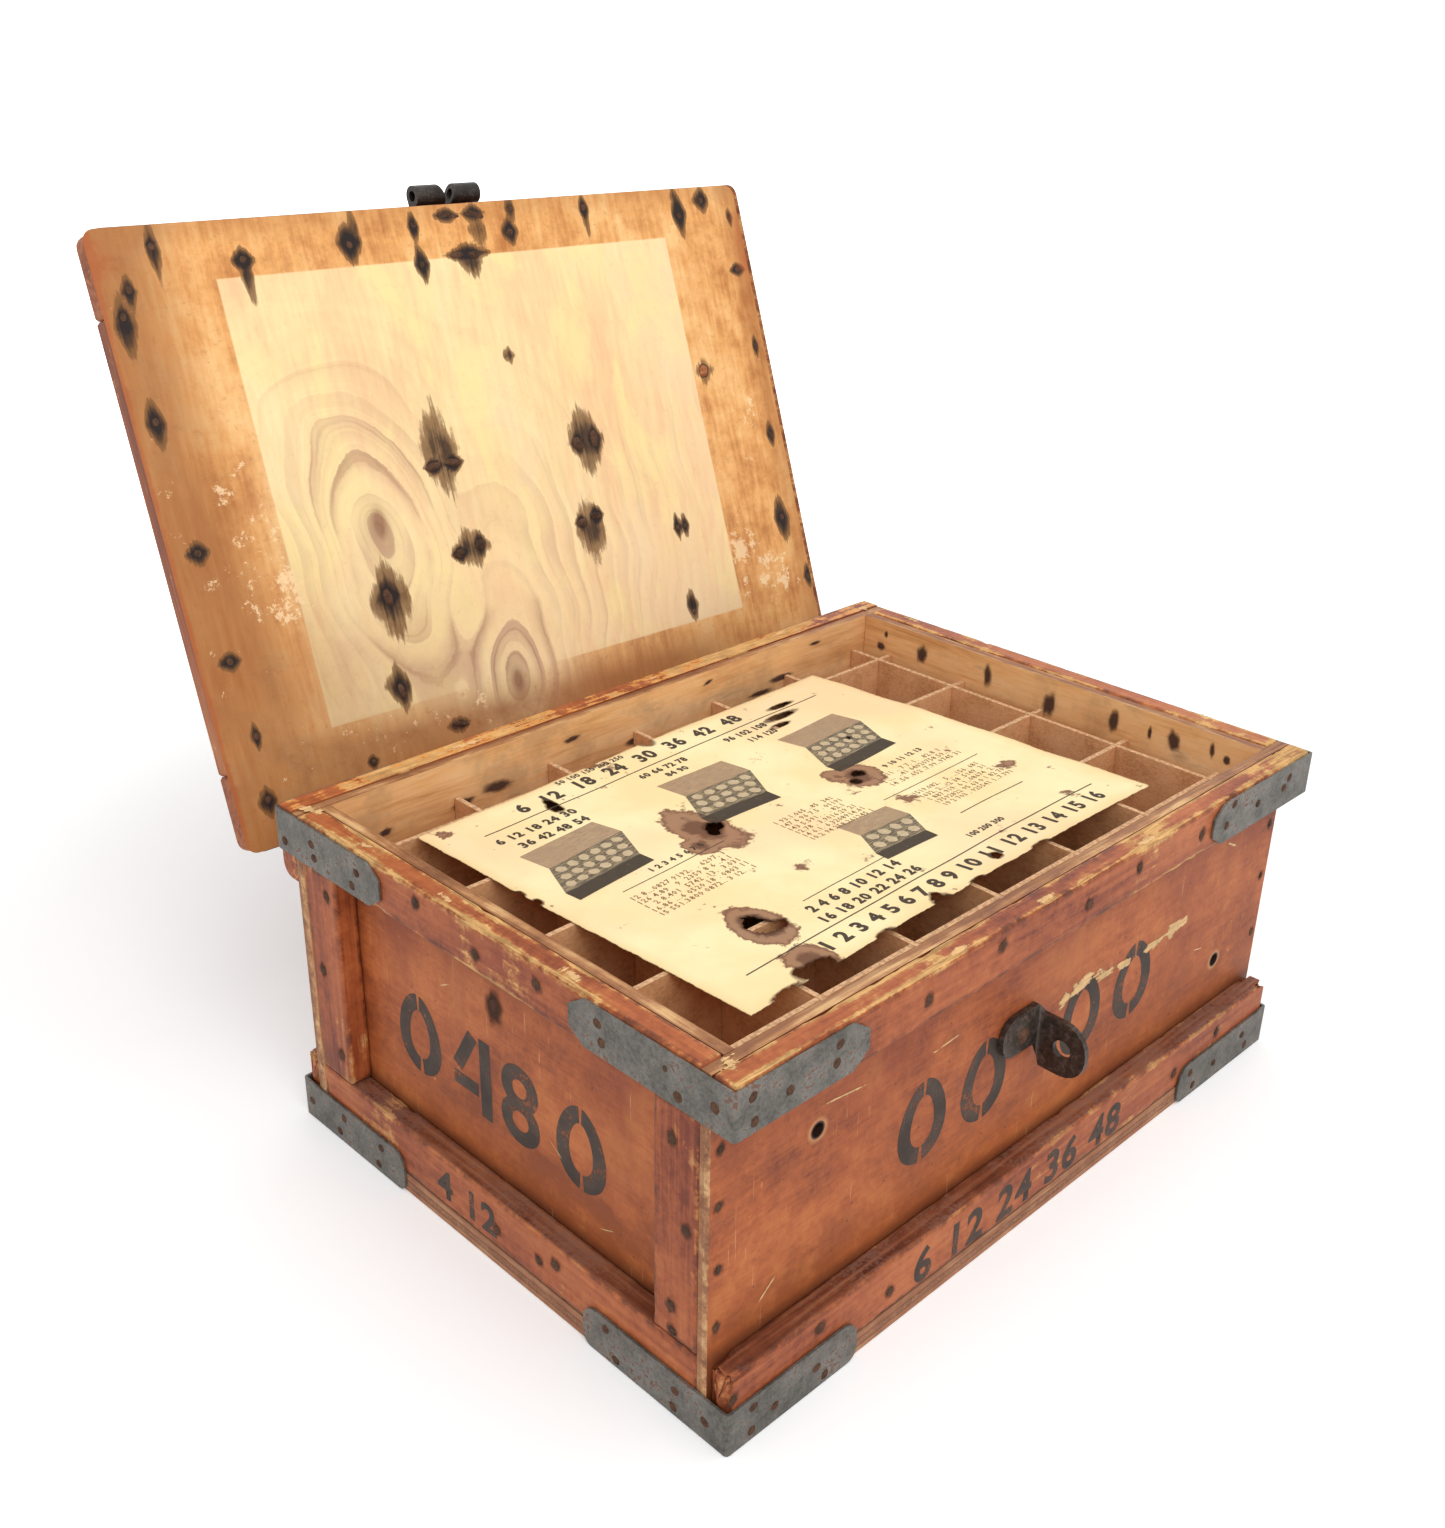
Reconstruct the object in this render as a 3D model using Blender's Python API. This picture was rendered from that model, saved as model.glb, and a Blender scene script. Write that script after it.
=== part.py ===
"""Wooden egg crate with a hinged lid, iron corners and two layers of dividers.

Units are metres, +Z is up, +X runs along the front and +Y goes to the back.
The origin is the middle of the base's underside. The lid is drawn closed, in
its own frame on the hinge's axis, and an empty swings it open.
"""

import math

import bmesh
import bpy
from mathutils import Vector

# Whole crate, measured over the wood.
crate_length = 0.3774
crate_width = 0.2744
rim_height = 0.1610

# Clearances.
gap = 0.0003
overrun = 0.0040

# Boards of the crate.
ply_thick = 0.0050
ply_drop = 0.0007
base_thick = 0.0097
rail_thick = 0.0105
top_rail_high = 0.0215
back_rail_high = 0.0340
back_rail_round = 0.0060
bottom_rail_high = 0.0250
post_wide = 0.0230
edge_round = 0.0012
ply_edge_round = 0.0004

# Two drilled holes in the front panel, from its middle and from the floor.
drilled_dia = 0.0060
drilled_left_x = -0.1349
drilled_left_z = 0.1097
drilled_right_x = 0.1495
drilled_right_z = 0.0589

# Corner irons.
iron_thick = 0.0011
iron_high = 0.0198
iron_bend = 0.0006
top_iron_drop = 0.0210
low_iron_rise = 0.0003
clip_run = 0.0080
clip_rise = 0.0055
iron_round_high = 0.0080
iron_round_low = 0.0050
top_fl_front_leg = 0.0650
top_fl_end_leg = 0.0820
top_fr_front_leg = 0.0850
top_fr_end_leg = 0.0640
top_bl_back_leg = 0.0720
top_bl_end_leg = 0.0760
top_br_back_leg = 0.0780
top_br_end_leg = 0.0700
low_fl_front_leg = 0.0690
low_fl_end_leg = 0.0780
low_fr_front_leg = 0.0790
low_fr_end_leg = 0.0680
low_bl_back_leg = 0.0700
low_bl_end_leg = 0.0780
low_br_back_leg = 0.0740
low_br_end_leg = 0.0740

# Staple on the front panel: a leg flat on the panel and a lug bent outwards.
# Its drops are measured from the rim.
staple_thick = 0.0026
staple_leg = 0.0243
staple_leg_drop = 0.0560
staple_leg_wide = 0.0190
staple_lug_out = 0.0258
staple_lug_drop = 0.0605
staple_lug_wide = 0.0255
staple_lug_x = -0.0014
staple_bend = 0.0015
staple_leg_round = 0.0085
staple_lug_round = 0.0115
staple_eye_dia = 0.0085
staple_eye_inset = 0.0113
staple_eye_drop = 0.0733

# Lid. It reaches a little past the crate's front.
lid_front_lip = 0.0011
lid_corner_round = 0.0055
lid_batten_wide = 0.0360
lid_batten_thick = 0.0107

# Hinges. The axis is set a little along the back and runs a little askew.
hinge_shift = 0.0030
hinge_inset = 0.0007
hinge_drop = 0.0309
hinge_skew = math.radians(-0.88)
open_angle = math.radians(109.9)
hinge_reach = 0.0940
hinge_wide = 0.0220
knuckle_dia = 0.0100
centre_knuckle_share = 0.36
pin_dia = 0.0044
strap_wide = 0.0200
strap_thick = 0.0020
strap_shoulder = 0.0068
strap_tip_inset = 0.1038
strap_bend = 0.0012
strap_tip = 0.0080
strap_set_in = 0.0002
strap_neck_taper = 0.0010
weld_inset = 0.0002
crank_gap = 0.0008
leaf_thick = 0.0020
leaf_high = 0.0265
leaf_set_back = 0.0010
stop_reach = 0.0110
stop_thick = 0.0024

# Hasp plate on the lid's free edge.
hasp_shift = 0.0021
hasp_wide = 0.0374
hasp_run = 0.0330
hasp_thick = 0.0017
hasp_barrel_dia = 0.0100
hasp_bore_dia = 0.0052
hasp_mouth = 0.0097
hasp_root = 0.0030
hasp_stand_off = 0.0025
hasp_set_in = 0.0002

# Carrying handle on the lid's outer face.
handle_reach = 0.0415
handle_set_back = 0.0057
handle_rise = 0.0280
handle_wide = 0.0140
handle_thick = 0.0028
handle_bend = 0.0090
foot_long = 0.0600
foot_wide = 0.0150
foot_thick = 0.0022

# Dividers: two layers of cells with a loose board between them.
divider_thick = 0.0024
slot_play = 0.0003
end_cell_margin = 0.00985
side_cell_margin = 0.0194
cross_half_count = 3
long_half_count = 2
divider_end_play = 0.0006
board_thick = 0.0035
board_play = 0.0008
head_room = 0.0184

# Loose printed leaflet lying on the dividers.
leaflet_end_room = 0.0404
leaflet_side_room = 0.0214
leaflet_thick = 0.0008
leaflet_x = -0.0075
leaflet_y = 0.0076
leaflet_turn = math.radians(2.6)
leaflet_wave = 0.0005
leaflet_lift = 0.0028

# Derived places.
half_length = crate_length / 2
half_width = crate_width / 2
side_face = half_width - rail_thick - gap
side_inner = side_face - ply_thick
end_face = half_length - rail_thick - gap
end_inner = end_face - ply_thick
between_sides = side_inner - gap
floor_top = base_thick + gap
rail_top_low = rim_height - top_rail_high
bottom_rail_top = floor_top + bottom_rail_high
lid_thick = ply_thick + gap + lid_batten_thick
lid_depth = crate_width + lid_front_lip
lid_under = rim_height + gap
lid_batten_low = lid_under + ply_thick + gap
lid_top = lid_under + lid_thick
knuckle_r = knuckle_dia / 2
hinge_y = half_width - hinge_inset
hinge_z = rim_height - hinge_drop
cross_pitch = (end_inner - end_cell_margin) / cross_half_count
long_pitch = (side_inner - side_cell_margin) / long_half_count
divider_high = (rim_height - head_room - floor_top - board_thick - 3 * gap) / 2
board_low = floor_top + divider_high + gap
upper_low = board_low + board_thick + gap
leaflet_low = upper_low + divider_high + gap
leaflet_long = 2 * (end_inner - leaflet_end_room)
leaflet_wide = 2 * (side_inner - leaflet_side_room)

# Colour, roughness and metallic value of each material.
LOOKS = {
    "stained_wood": ((0.42, 0.13, 0.055), 0.62, 0.0),
    "stained_ply": ((0.45, 0.15, 0.06), 0.60, 0.0),
    "bare_ply": ((0.72, 0.50, 0.28), 0.66, 0.0),
    "base_ply": ((0.50, 0.24, 0.11), 0.70, 0.0),
    "corner_iron": ((0.20, 0.22, 0.22), 0.55, 0.85),
    "dark_iron": ((0.085, 0.075, 0.065), 0.60, 0.80),
    "strawboard": ((0.44, 0.27, 0.16), 0.85, 0.0),
    "paper": ((0.86, 0.76, 0.55), 0.80, 0.0),
}


def clear_scene():
    """Remove what the scene holds."""
    for item in list(bpy.data.objects):
        bpy.data.objects.remove(item, do_unlink=True)


def material(name):
    """Principled material of one of the named looks."""
    known = bpy.data.materials.get(name)
    if known:
        return known
    colour, roughness, metallic = LOOKS[name]
    made = bpy.data.materials.new(name)
    made.use_nodes = True
    shader = made.node_tree.nodes["Principled BSDF"]
    shader.inputs["Base Color"].default_value = (*colour, 1.0)
    shader.inputs["Roughness"].default_value = roughness
    shader.inputs["Metallic"].default_value = metallic
    return made


def empty(name, place, turn, parent=None):
    """Empty that carries the pieces of one frame."""
    made = bpy.data.objects.new(name, None)
    made.location = place
    made.rotation_euler = turn
    made.parent = parent
    bpy.context.collection.objects.link(made)
    return made


def add_object(name, shape, look, place=(0, 0, 0), parent=None, smooth=False):
    """Object of one bmesh, with its faces turned outwards."""
    bmesh.ops.recalc_face_normals(shape, faces=shape.faces)
    mesh = bpy.data.meshes.new(name)
    shape.to_mesh(mesh)
    shape.free()
    made = bpy.data.objects.new(name, mesh)
    made.location = place
    made.parent = parent
    mesh.materials.append(material(look))
    bpy.context.collection.objects.link(made)
    if smooth:
        mesh.shade_smooth()
        mesh.set_sharp_from_angle(angle=math.radians(35))
    return made


def soften(item, width, segments=1):
    """Bevel that takes the sharpness off a board's edges."""
    bevel = item.modifiers.new("worn_edges", "BEVEL")
    bevel.width = width
    bevel.segments = segments
    bevel.limit_method = "ANGLE"
    bevel.angle_limit = math.radians(50)


def box_shape(size):
    """Box of the given size about the origin."""
    shape = bmesh.new()
    bmesh.ops.create_cube(shape, size=1)
    bmesh.ops.scale(shape, vec=Vector(size), verts=shape.verts)
    return shape


def board(name, low, high, look, parent=None, edge=0):
    """Board between two corners, with its origin in its middle."""
    size = [top - bottom for bottom, top in zip(low, high)]
    middle = [(bottom + top) / 2 for bottom, top in zip(low, high)]
    made = add_object(name, box_shape(size), look, middle, parent)
    if edge:
        soften(made, edge)
    return made


def prism_shape(outline, axis, start, end):
    """Outline of (a, b) points pushed along X, Y or Z from start to end."""
    orders = {"X": (2, 0, 1), "Y": (0, 2, 1), "Z": (0, 1, 2)}
    first, second, third = orders[axis]
    shape = bmesh.new()
    corners = []
    for a, b in outline:
        point = (a, b, start)
        corners.append(shape.verts.new((point[first], point[second], point[third])))
    face = shape.faces.new(corners)
    pushed = bmesh.ops.extrude_face_region(shape, geom=[face])["geom"]
    step = (0, 0, end - start)
    move = Vector((step[first], step[second], step[third]))
    bmesh.ops.translate(
        shape, vec=move, verts=[v for v in pushed if isinstance(v, bmesh.types.BMVert)]
    )
    return shape


def arc(centre, radius, start, end, steps):
    """Points of an arc in the outline's plane, between two angles."""
    points = []
    for index in range(steps + 1):
        angle = start + (end - start) * index / steps
        points.append(
            (centre[0] + radius * math.cos(angle), centre[1] + radius * math.sin(angle))
        )
    return points


def rounded_path(corners, bend, thick, steps=3):
    """Straight runs joined by arcs: points and their left-hand normals.

    The bend is the radius of the strip's inner side, whichever side that is.
    """
    line = [Vector(corner) for corner in corners]
    points, normals = [], []
    for index, corner in enumerate(line):
        before = (corner - line[index - 1]).normalized() if index else None
        last = index == len(line) - 1
        after = None if last else (line[index + 1] - corner).normalized()
        if before is None or after is None:
            along = after or before
            points.append(corner)
            normals.append(Vector((-along.y, along.x)))
            continue
        turn = before.x * after.y - before.y * after.x
        side = 1 if turn > 0 else -1
        left = Vector((-before.y, before.x))
        radius = bend + (abs(thick) if side * thick > 0 else 0)
        angle = math.acos(max(-1, min(1, before.dot(after))))
        entry = corner - before * radius * math.tan(angle / 2)
        centre = entry + left * side * radius
        for step in range(steps + 1):
            spoke = -left * side
            swing = side * angle * step / steps
            spin = Vector(
                (
                    spoke.x * math.cos(swing) - spoke.y * math.sin(swing),
                    spoke.x * math.sin(swing) + spoke.y * math.cos(swing),
                )
            )
            points.append(centre + spin * radius)
            normals.append(-spin * side)
    return points, normals


def path_lengths(points):
    """Distance along the path at each of its points."""
    lengths = [0]
    for index in range(1, len(points)):
        lengths.append(lengths[-1] + (points[index] - points[index - 1]).length)
    return lengths


def band_shape(corners, bend, thick, span, extra=(), steps=3, axis="Z"):
    """Bent strip of one thickness whose two long edges follow a rule.

    The path lies in a plane, thickness goes to its left, and span gives the
    band's low and high edge, across that plane, at a distance along the path.
    """
    points, normals = rounded_path(corners, bend, thick, steps)
    lengths = path_lengths(points)
    total = lengths[-1]
    marks = sorted(set(lengths) | {mark if mark >= 0 else total + mark for mark in extra})
    orders = {"X": (2, 0, 1), "Y": (0, 2, 1), "Z": (0, 1, 2)}
    first, second, third = orders[axis]
    shape = bmesh.new()
    rings = []
    for mark in marks:
        index = 0
        while index < len(lengths) - 2 and lengths[index + 1] < mark:
            index += 1
        run = lengths[index + 1] - lengths[index]
        share = (mark - lengths[index]) / run
        near = points[index].lerp(points[index + 1], share)
        normal = normals[index].lerp(normals[index + 1], share).normalized()
        far = near + normal * thick
        low, high = span(mark, total)
        ring = []
        for flat, level in ((near, low), (far, low), (far, high), (near, high)):
            point = (flat.x, flat.y, level)
            ring.append(shape.verts.new((point[first], point[second], point[third])))
        rings.append(ring)
    for one, two in zip(rings, rings[1:]):
        for side in range(4):
            other = (side + 1) % 4
            shape.faces.new((one[side], one[other], two[other], two[side]))
    shape.faces.new(rings[0])
    shape.faces.new(list(reversed(rings[-1])))
    return shape


def end_inset(distance, run, rise, rounded):
    """How far a band's edge is drawn in at a distance from its end."""
    if distance >= run:
        return 0
    if rounded:
        return run - math.sqrt(max(run * run - (run - distance) ** 2, 0))
    return rise * (1 - distance / run)


def combine(target, tools, operation):
    """Apply exact Booleans with the tools, which are then removed."""
    for tool in tools:
        cut = target.modifiers.new("shape", "BOOLEAN")
        cut.operation = operation
        cut.solver = "EXACT"
        cut.object = tool
    bpy.context.view_layer.update()
    graph = bpy.context.evaluated_depsgraph_get()
    made = bpy.data.meshes.new_from_object(target.evaluated_get(graph))
    target.modifiers.clear()
    target.data = made
    for tool in tools:
        bpy.data.objects.remove(tool, do_unlink=True)


def rod_shape(dia, start, end, centre=(0, 0), sides=16):
    """Round rod along X between two places."""
    return prism_shape(
        arc(centre, dia / 2, 0, math.tau * (sides - 1) / sides, sides - 1), "X", start, end
    )


def build_base():
    """Three-ply base that the walls stand on."""
    board(
        "base_board",
        (-half_length, -half_width, 0),
        (half_length, half_width, base_thick),
        "base_ply",
        edge=ply_edge_round,
    )


def build_panels():
    """Plywood walls: the long ones run through, the short ones sit between."""
    top = rim_height - ply_drop
    front = board(
        "front_panel",
        (-half_length, -side_face, floor_top),
        (half_length, -side_inner, top),
        "stained_ply",
    )
    board(
        "back_panel",
        (-half_length, side_inner, floor_top),
        (half_length, side_face, top),
        "stained_ply",
    )
    for side, name in ((-1, "left_panel"), (1, "right_panel")):
        edges = sorted((side * end_face, side * end_inner))
        board(
            name,
            (edges[0], -between_sides, floor_top),
            (edges[1], between_sides, top),
            "stained_ply",
        )
    drills = []
    for x, z in ((drilled_left_x, drilled_left_z), (drilled_right_x, drilled_right_z)):
        sides = 12
        ring = arc((x, z), drilled_dia / 2, 0, math.tau * (sides - 1) / sides, sides - 1)
        shape = prism_shape(ring, "Y", -side_face - overrun, -side_inner + overrun)
        drills.append(add_object("drill", shape, "dark_iron"))
    combine(front, drills, "DIFFERENCE")


def back_rail_outline():
    """Section of the back top rail, with its lower outer corner rounded."""
    low = rim_height - back_rail_high
    inner = side_face + gap
    centre = (half_width - back_rail_round, low + back_rail_round)
    outline = [(inner, rim_height), (inner, low)]
    outline += arc(centre, back_rail_round, -math.pi / 2, 0, 4)
    outline += [(half_width, rim_height - edge_round), (half_width - edge_round, rim_height)]
    return outline


def hinge_pocket(side, parent):
    """Cutter that lets one hinge's knuckles and leaf into the back rail."""
    middle = side * hinge_reach
    half = hinge_wide / 2 + gap
    room = knuckle_r + gap
    depth = leaf_set_back + leaf_thick + gap
    top = leaf_high + gap
    entry = math.pi - math.asin(math.sqrt(room**2 - depth**2) / room)
    outline = arc((0, 0), room, entry, 3 * math.pi / 2, 8)
    outline += [(rail_thick, -room), (rail_thick, top), (-depth, top)]
    shape = prism_shape(outline, "X", middle - half, middle + half)
    return add_object("hinge_cut", shape, "dark_iron", parent=parent)


def build_rails(line):
    """Top and bottom rails outside the panels, and posts at the ends."""
    inner = side_face + gap
    board(
        "front_top_rail",
        (-half_length, -half_width, rail_top_low),
        (half_length, -inner, rim_height),
        "stained_wood",
        edge=edge_round,
    )
    back = add_object(
        "back_top_rail",
        prism_shape(back_rail_outline(), "X", -half_length, half_length),
        "stained_wood",
    )
    combine(back, [hinge_pocket(-1, line), hinge_pocket(1, line)], "DIFFERENCE")
    for side, name in ((-1, "front"), (1, "back")):
        edges = sorted((side * half_width, side * inner))
        board(
            name + "_bottom_rail",
            (-half_length, edges[0], floor_top),
            (half_length, edges[1], bottom_rail_top),
            "stained_wood",
            edge=edge_round,
        )
    for side, name in ((-1, "left"), (1, "right")):
        edges = sorted((side * half_length, side * (end_face + gap)))
        for low, high, level in (
            (rail_top_low, rim_height, "top"),
            (floor_top, bottom_rail_top, "bottom"),
        ):
            board(
                f"{name}_{level}_rail",
                (edges[0], -between_sides, low),
                (edges[1], between_sides, high),
                "stained_wood",
                edge=edge_round,
            )
        for end, place in ((-1, "front"), (1, "back")):
            run = sorted((end * between_sides, end * (between_sides - post_wide)))
            board(
                f"{name}_{place}_post",
                (edges[0], run[0], bottom_rail_top + gap),
                (edges[1], run[1], rail_top_low - gap),
                "stained_wood",
                edge=edge_round,
            )


def corner_iron(name, side, end, long_leg, short_leg, rise, rounded):
    """Strap iron bent round one corner, its long leg along the crate."""
    x = side * (half_length + gap)
    y = end * (half_width + gap)
    tail = (x - side * long_leg, y)
    head = (x, y - end * short_leg)
    corners = [tail, (x, y), head]
    # Thickness goes to the left of the path, which has to be the outer side.
    if side * end < 0:
        corners.reverse()

    def span(distance, total):
        from_end = min(distance, total - distance)
        if rounded:
            low = end_inset(from_end, iron_round_low, iron_round_low, True)
            high = end_inset(from_end, iron_round_high, iron_round_high, True)
        else:
            low = end_inset(from_end, clip_run, clip_rise, False)
            high = low
        return rise + low, rise + iron_high - high

    if rounded:
        marks = []
        for index in range(1, 4):
            angle = math.pi / 2 * index / 3
            marks.append(iron_round_high * (1 - math.cos(angle)))
            marks.append(iron_round_low * (1 - math.cos(angle)))
    else:
        marks = [clip_run]
    marks += [-mark for mark in marks]
    shape = band_shape(corners, iron_bend, iron_thick, span, marks)
    add_object(name, shape, "corner_iron")


def build_irons():
    """Four irons round the top corners and four round the bottom ones."""
    top = (
        ("top_iron_front_left", -1, -1, top_fl_front_leg, top_fl_end_leg),
        ("top_iron_front_right", 1, -1, top_fr_front_leg, top_fr_end_leg),
        ("top_iron_back_left", -1, 1, top_bl_back_leg, top_bl_end_leg),
        ("top_iron_back_right", 1, 1, top_br_back_leg, top_br_end_leg),
    )
    low = (
        ("low_iron_front_left", -1, -1, low_fl_front_leg, low_fl_end_leg),
        ("low_iron_front_right", 1, -1, low_fr_front_leg, low_fr_end_leg),
        ("low_iron_back_left", -1, 1, low_bl_back_leg, low_bl_end_leg),
        ("low_iron_back_right", 1, 1, low_br_back_leg, low_br_end_leg),
    )
    for name, side, end, long_leg, short_leg in top:
        corner_iron(name, side, end, long_leg, short_leg, rim_height - top_iron_drop, False)
    for name, side, end, long_leg, short_leg in low:
        corner_iron(name, side, end, long_leg, short_leg, low_iron_rise, True)


def build_staple():
    """Bent plate: a round-ended leg on the panel and a lug with an eye."""
    face = -side_face - gap
    outer = staple_lug_x + staple_thick / 2
    corners = [
        (outer - staple_thick, face - staple_lug_out),
        (outer - staple_thick, face - staple_thick),
        (outer - staple_thick - staple_leg, face - staple_thick),
    ]
    leg_half = staple_leg_wide / 2
    leg_middle = rim_height - staple_leg_drop - leg_half
    lug_half = staple_lug_wide / 2
    lug_middle = rim_height - staple_lug_drop - lug_half
    straight = staple_lug_out - staple_thick - staple_bend
    turn = staple_bend * math.pi / 2

    def span(distance, total):
        share = max(0, min(1, (distance - straight) / turn))
        tip = end_inset(distance, staple_lug_round, staple_lug_round, True)
        tail = end_inset(total - distance, staple_leg_round, staple_leg_round, True)
        middle = lug_middle + (leg_middle - lug_middle) * share
        half = lug_half + (leg_half - lug_half) * share - tip - tail
        return middle - half, middle + half

    marks = []
    for index in range(1, 6):
        angle = math.pi / 2 * index / 5
        marks.append(staple_lug_round * (1 - math.cos(angle)))
        marks.append(-staple_leg_round * (1 - math.cos(angle)))
    shape = band_shape(corners, staple_bend, -staple_thick, span, marks)
    staple = add_object("staple", shape, "dark_iron", smooth=True)
    eye = (face - staple_lug_out + staple_eye_inset, rim_height - staple_eye_drop)
    bore = rod_shape(
        staple_eye_dia, outer - staple_thick - overrun, outer + overrun, centre=eye, sides=20
    )
    combine(staple, [add_object("eye", bore, "dark_iron")], "DIFFERENCE")


def pin_y_at(x):
    """How far back the askew hinge axis lies at a place along the lid."""
    return hinge_y + x * math.tan(hinge_skew)


def box_leaf(name, side, parent):
    """Leaf let into the back rail, with two knuckles, the pin and a stop."""
    middle = side * hinge_reach
    half = hinge_wide / 2
    inner = half * centre_knuckle_share + gap
    back = -leaf_set_back - leaf_thick
    notch_top = math.sqrt(knuckle_r**2 - leaf_set_back**2) + gap
    # The knuckles stand a little past what they are welded to at each end.
    edge = half - weld_inset
    cut = inner + weld_inset
    outline = [(middle - edge, 0), (middle - cut, 0), (middle - cut, notch_top)]
    outline += [(middle + cut, notch_top), (middle + cut, 0), (middle + edge, 0)]
    outline += [(middle + edge, leaf_high), (middle - edge, leaf_high)]
    plate = prism_shape(outline, "Y", back, back + leaf_thick)
    leaf = add_object(name, plate, "dark_iron", parent=parent)
    tools = []
    pin = rod_shape(pin_dia, middle - edge, middle + edge, sides=12)
    tools.append(add_object("pin", pin, "dark_iron", parent=parent))
    # The stop lies just under the strap of the open lid.
    down = Vector((math.sin(open_angle), math.cos(open_angle)))
    out = Vector((down.y, -down.x))
    rest = knuckle_r - strap_set_in + gap
    marks = (
        (0, 0),
        (knuckle_r, 0),
        (knuckle_r, rest),
        (stop_reach, rest),
        (stop_reach, rest + stop_thick),
        (stop_thick, rest + stop_thick),
        (0, knuckle_r),
    )
    stop = [tuple(down * along + out * under) for along, under in marks]
    for start, end in ((-half, -inner), (inner, half)):
        low, high = middle + start, middle + end
        barrel = rod_shape(knuckle_dia, low, high, sides=20)
        tools.append(add_object("knuckle", barrel, "dark_iron", parent=parent))
        bracket = prism_shape(stop, "X", low + weld_inset, high - weld_inset)
        tools.append(add_object("stop", bracket, "dark_iron", parent=parent))
    combine(leaf, tools, "UNION")
    leaf.data.shade_smooth()
    leaf.data.set_sharp_from_angle(angle=math.radians(35))


def lid_strap(name, side, parent):
    """Strap that turns over the lid's rear edge and cranks down to its ply."""
    middle = side * hinge_reach
    pin_y = pin_y_at(middle)
    rear_edge = half_width - pin_y
    over = lid_top + gap - hinge_z
    down = lid_batten_low - hinge_z
    crank = rear_edge - lid_batten_wide - crank_gap
    stand = knuckle_r - strap_set_in - strap_thick
    corners = [
        (rear_edge - strap_tip_inset, down),
        (crank, down),
        (crank, over),
        (stand, over),
        (stand, 0),
    ]
    neck = hinge_wide / 2 * centre_knuckle_share
    half = strap_wide / 2

    def span(distance, total):
        to_neck = (total - distance - strap_shoulder) / strap_neck_taper
        share = max(0, min(1, to_neck))
        start = neck - weld_inset
        width = start + (half - start) * share
        width -= end_inset(distance, strap_tip, strap_tip, True)
        return middle - width, middle + width

    marks = [strap_tip * (1 - math.cos(math.pi / 2 * index / 3)) for index in range(1, 4)]
    marks += [-strap_shoulder, -strap_shoulder - strap_neck_taper]
    shape = band_shape(corners, strap_bend, strap_thick, span, marks, axis="X")
    strap = add_object(name, shape, "dark_iron", parent=parent)
    barrel = rod_shape(knuckle_dia, middle - neck, middle + neck, sides=20)
    combine(strap, [add_object("knuckle", barrel, "dark_iron", parent=parent)], "UNION")
    bore = rod_shape(pin_dia + 2 * gap, middle - half, middle + half, sides=12)
    combine(strap, [add_object("bore", bore, "dark_iron", parent=parent)], "DIFFERENCE")
    strap.data.shade_smooth()
    strap.data.set_sharp_from_angle(angle=math.radians(35))


def build_hinges(line, swing):
    """Two strap hinges on the back."""
    for side, name in ((-1, "left"), (1, "right")):
        box_leaf(name + "_hinge_leaf", side, line)
        lid_strap(name + "_hinge_strap", side, swing)


def rounded_board(name, low, high, look, parent, round_x=(), edge=0):
    """Board with the listed plan corners rounded, given as (x sign, y sign)."""
    radius = lid_corner_round
    outline = []
    order = ((1, 1, 0), (-1, 1, 1), (-1, -1, 2), (1, -1, 3))
    for x_sign, y_sign, quarter in order:
        x = high[0] if x_sign > 0 else low[0]
        y = high[1] if y_sign > 0 else low[1]
        if (x_sign, y_sign) in round_x:
            centre = (x - x_sign * radius, y - y_sign * radius)
            start = quarter * math.pi / 2
            outline += arc(centre, radius, start, start + math.pi / 2, 4)
        else:
            outline.append((x, y))
    made = add_object(name, prism_shape(outline, "Z", low[2], high[2]), look, parent=parent)
    if edge:
        soften(made, edge)
    return made


def build_lid(square):
    """Plywood lid with a frame of four battens on its outer face."""
    rear = half_width - hinge_y
    front = rear - lid_depth
    low = lid_under - hinge_z
    batten_low = lid_batten_low - hinge_z
    top = lid_top - hinge_z
    corners = ((1, 1), (-1, 1), (-1, -1), (1, -1))
    rounded_board(
        "lid_panel",
        (-half_length, front, low),
        (half_length, rear, low + ply_thick),
        "bare_ply",
        square,
        corners,
        ply_edge_round,
    )
    for y_sign, name in ((-1, "front"), (1, "rear")):
        edge = front if y_sign < 0 else rear
        inner = edge - y_sign * lid_batten_wide
        run = sorted((edge, inner))
        rounded_board(
            f"lid_{name}_batten",
            (-half_length, run[0], batten_low),
            (half_length, run[1], top),
            "stained_wood",
            square,
            [corner for corner in corners if corner[1] == y_sign],
            edge_round,
        )
    for side, name in ((-1, "left"), (1, "right")):
        run = sorted((side * half_length, side * (half_length - lid_batten_wide)))
        board(
            f"lid_{name}_batten",
            (run[0], front + lid_batten_wide + gap, batten_low),
            (run[1], rear - lid_batten_wide - gap, top),
            "stained_wood",
            square,
            edge_round,
        )


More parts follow.
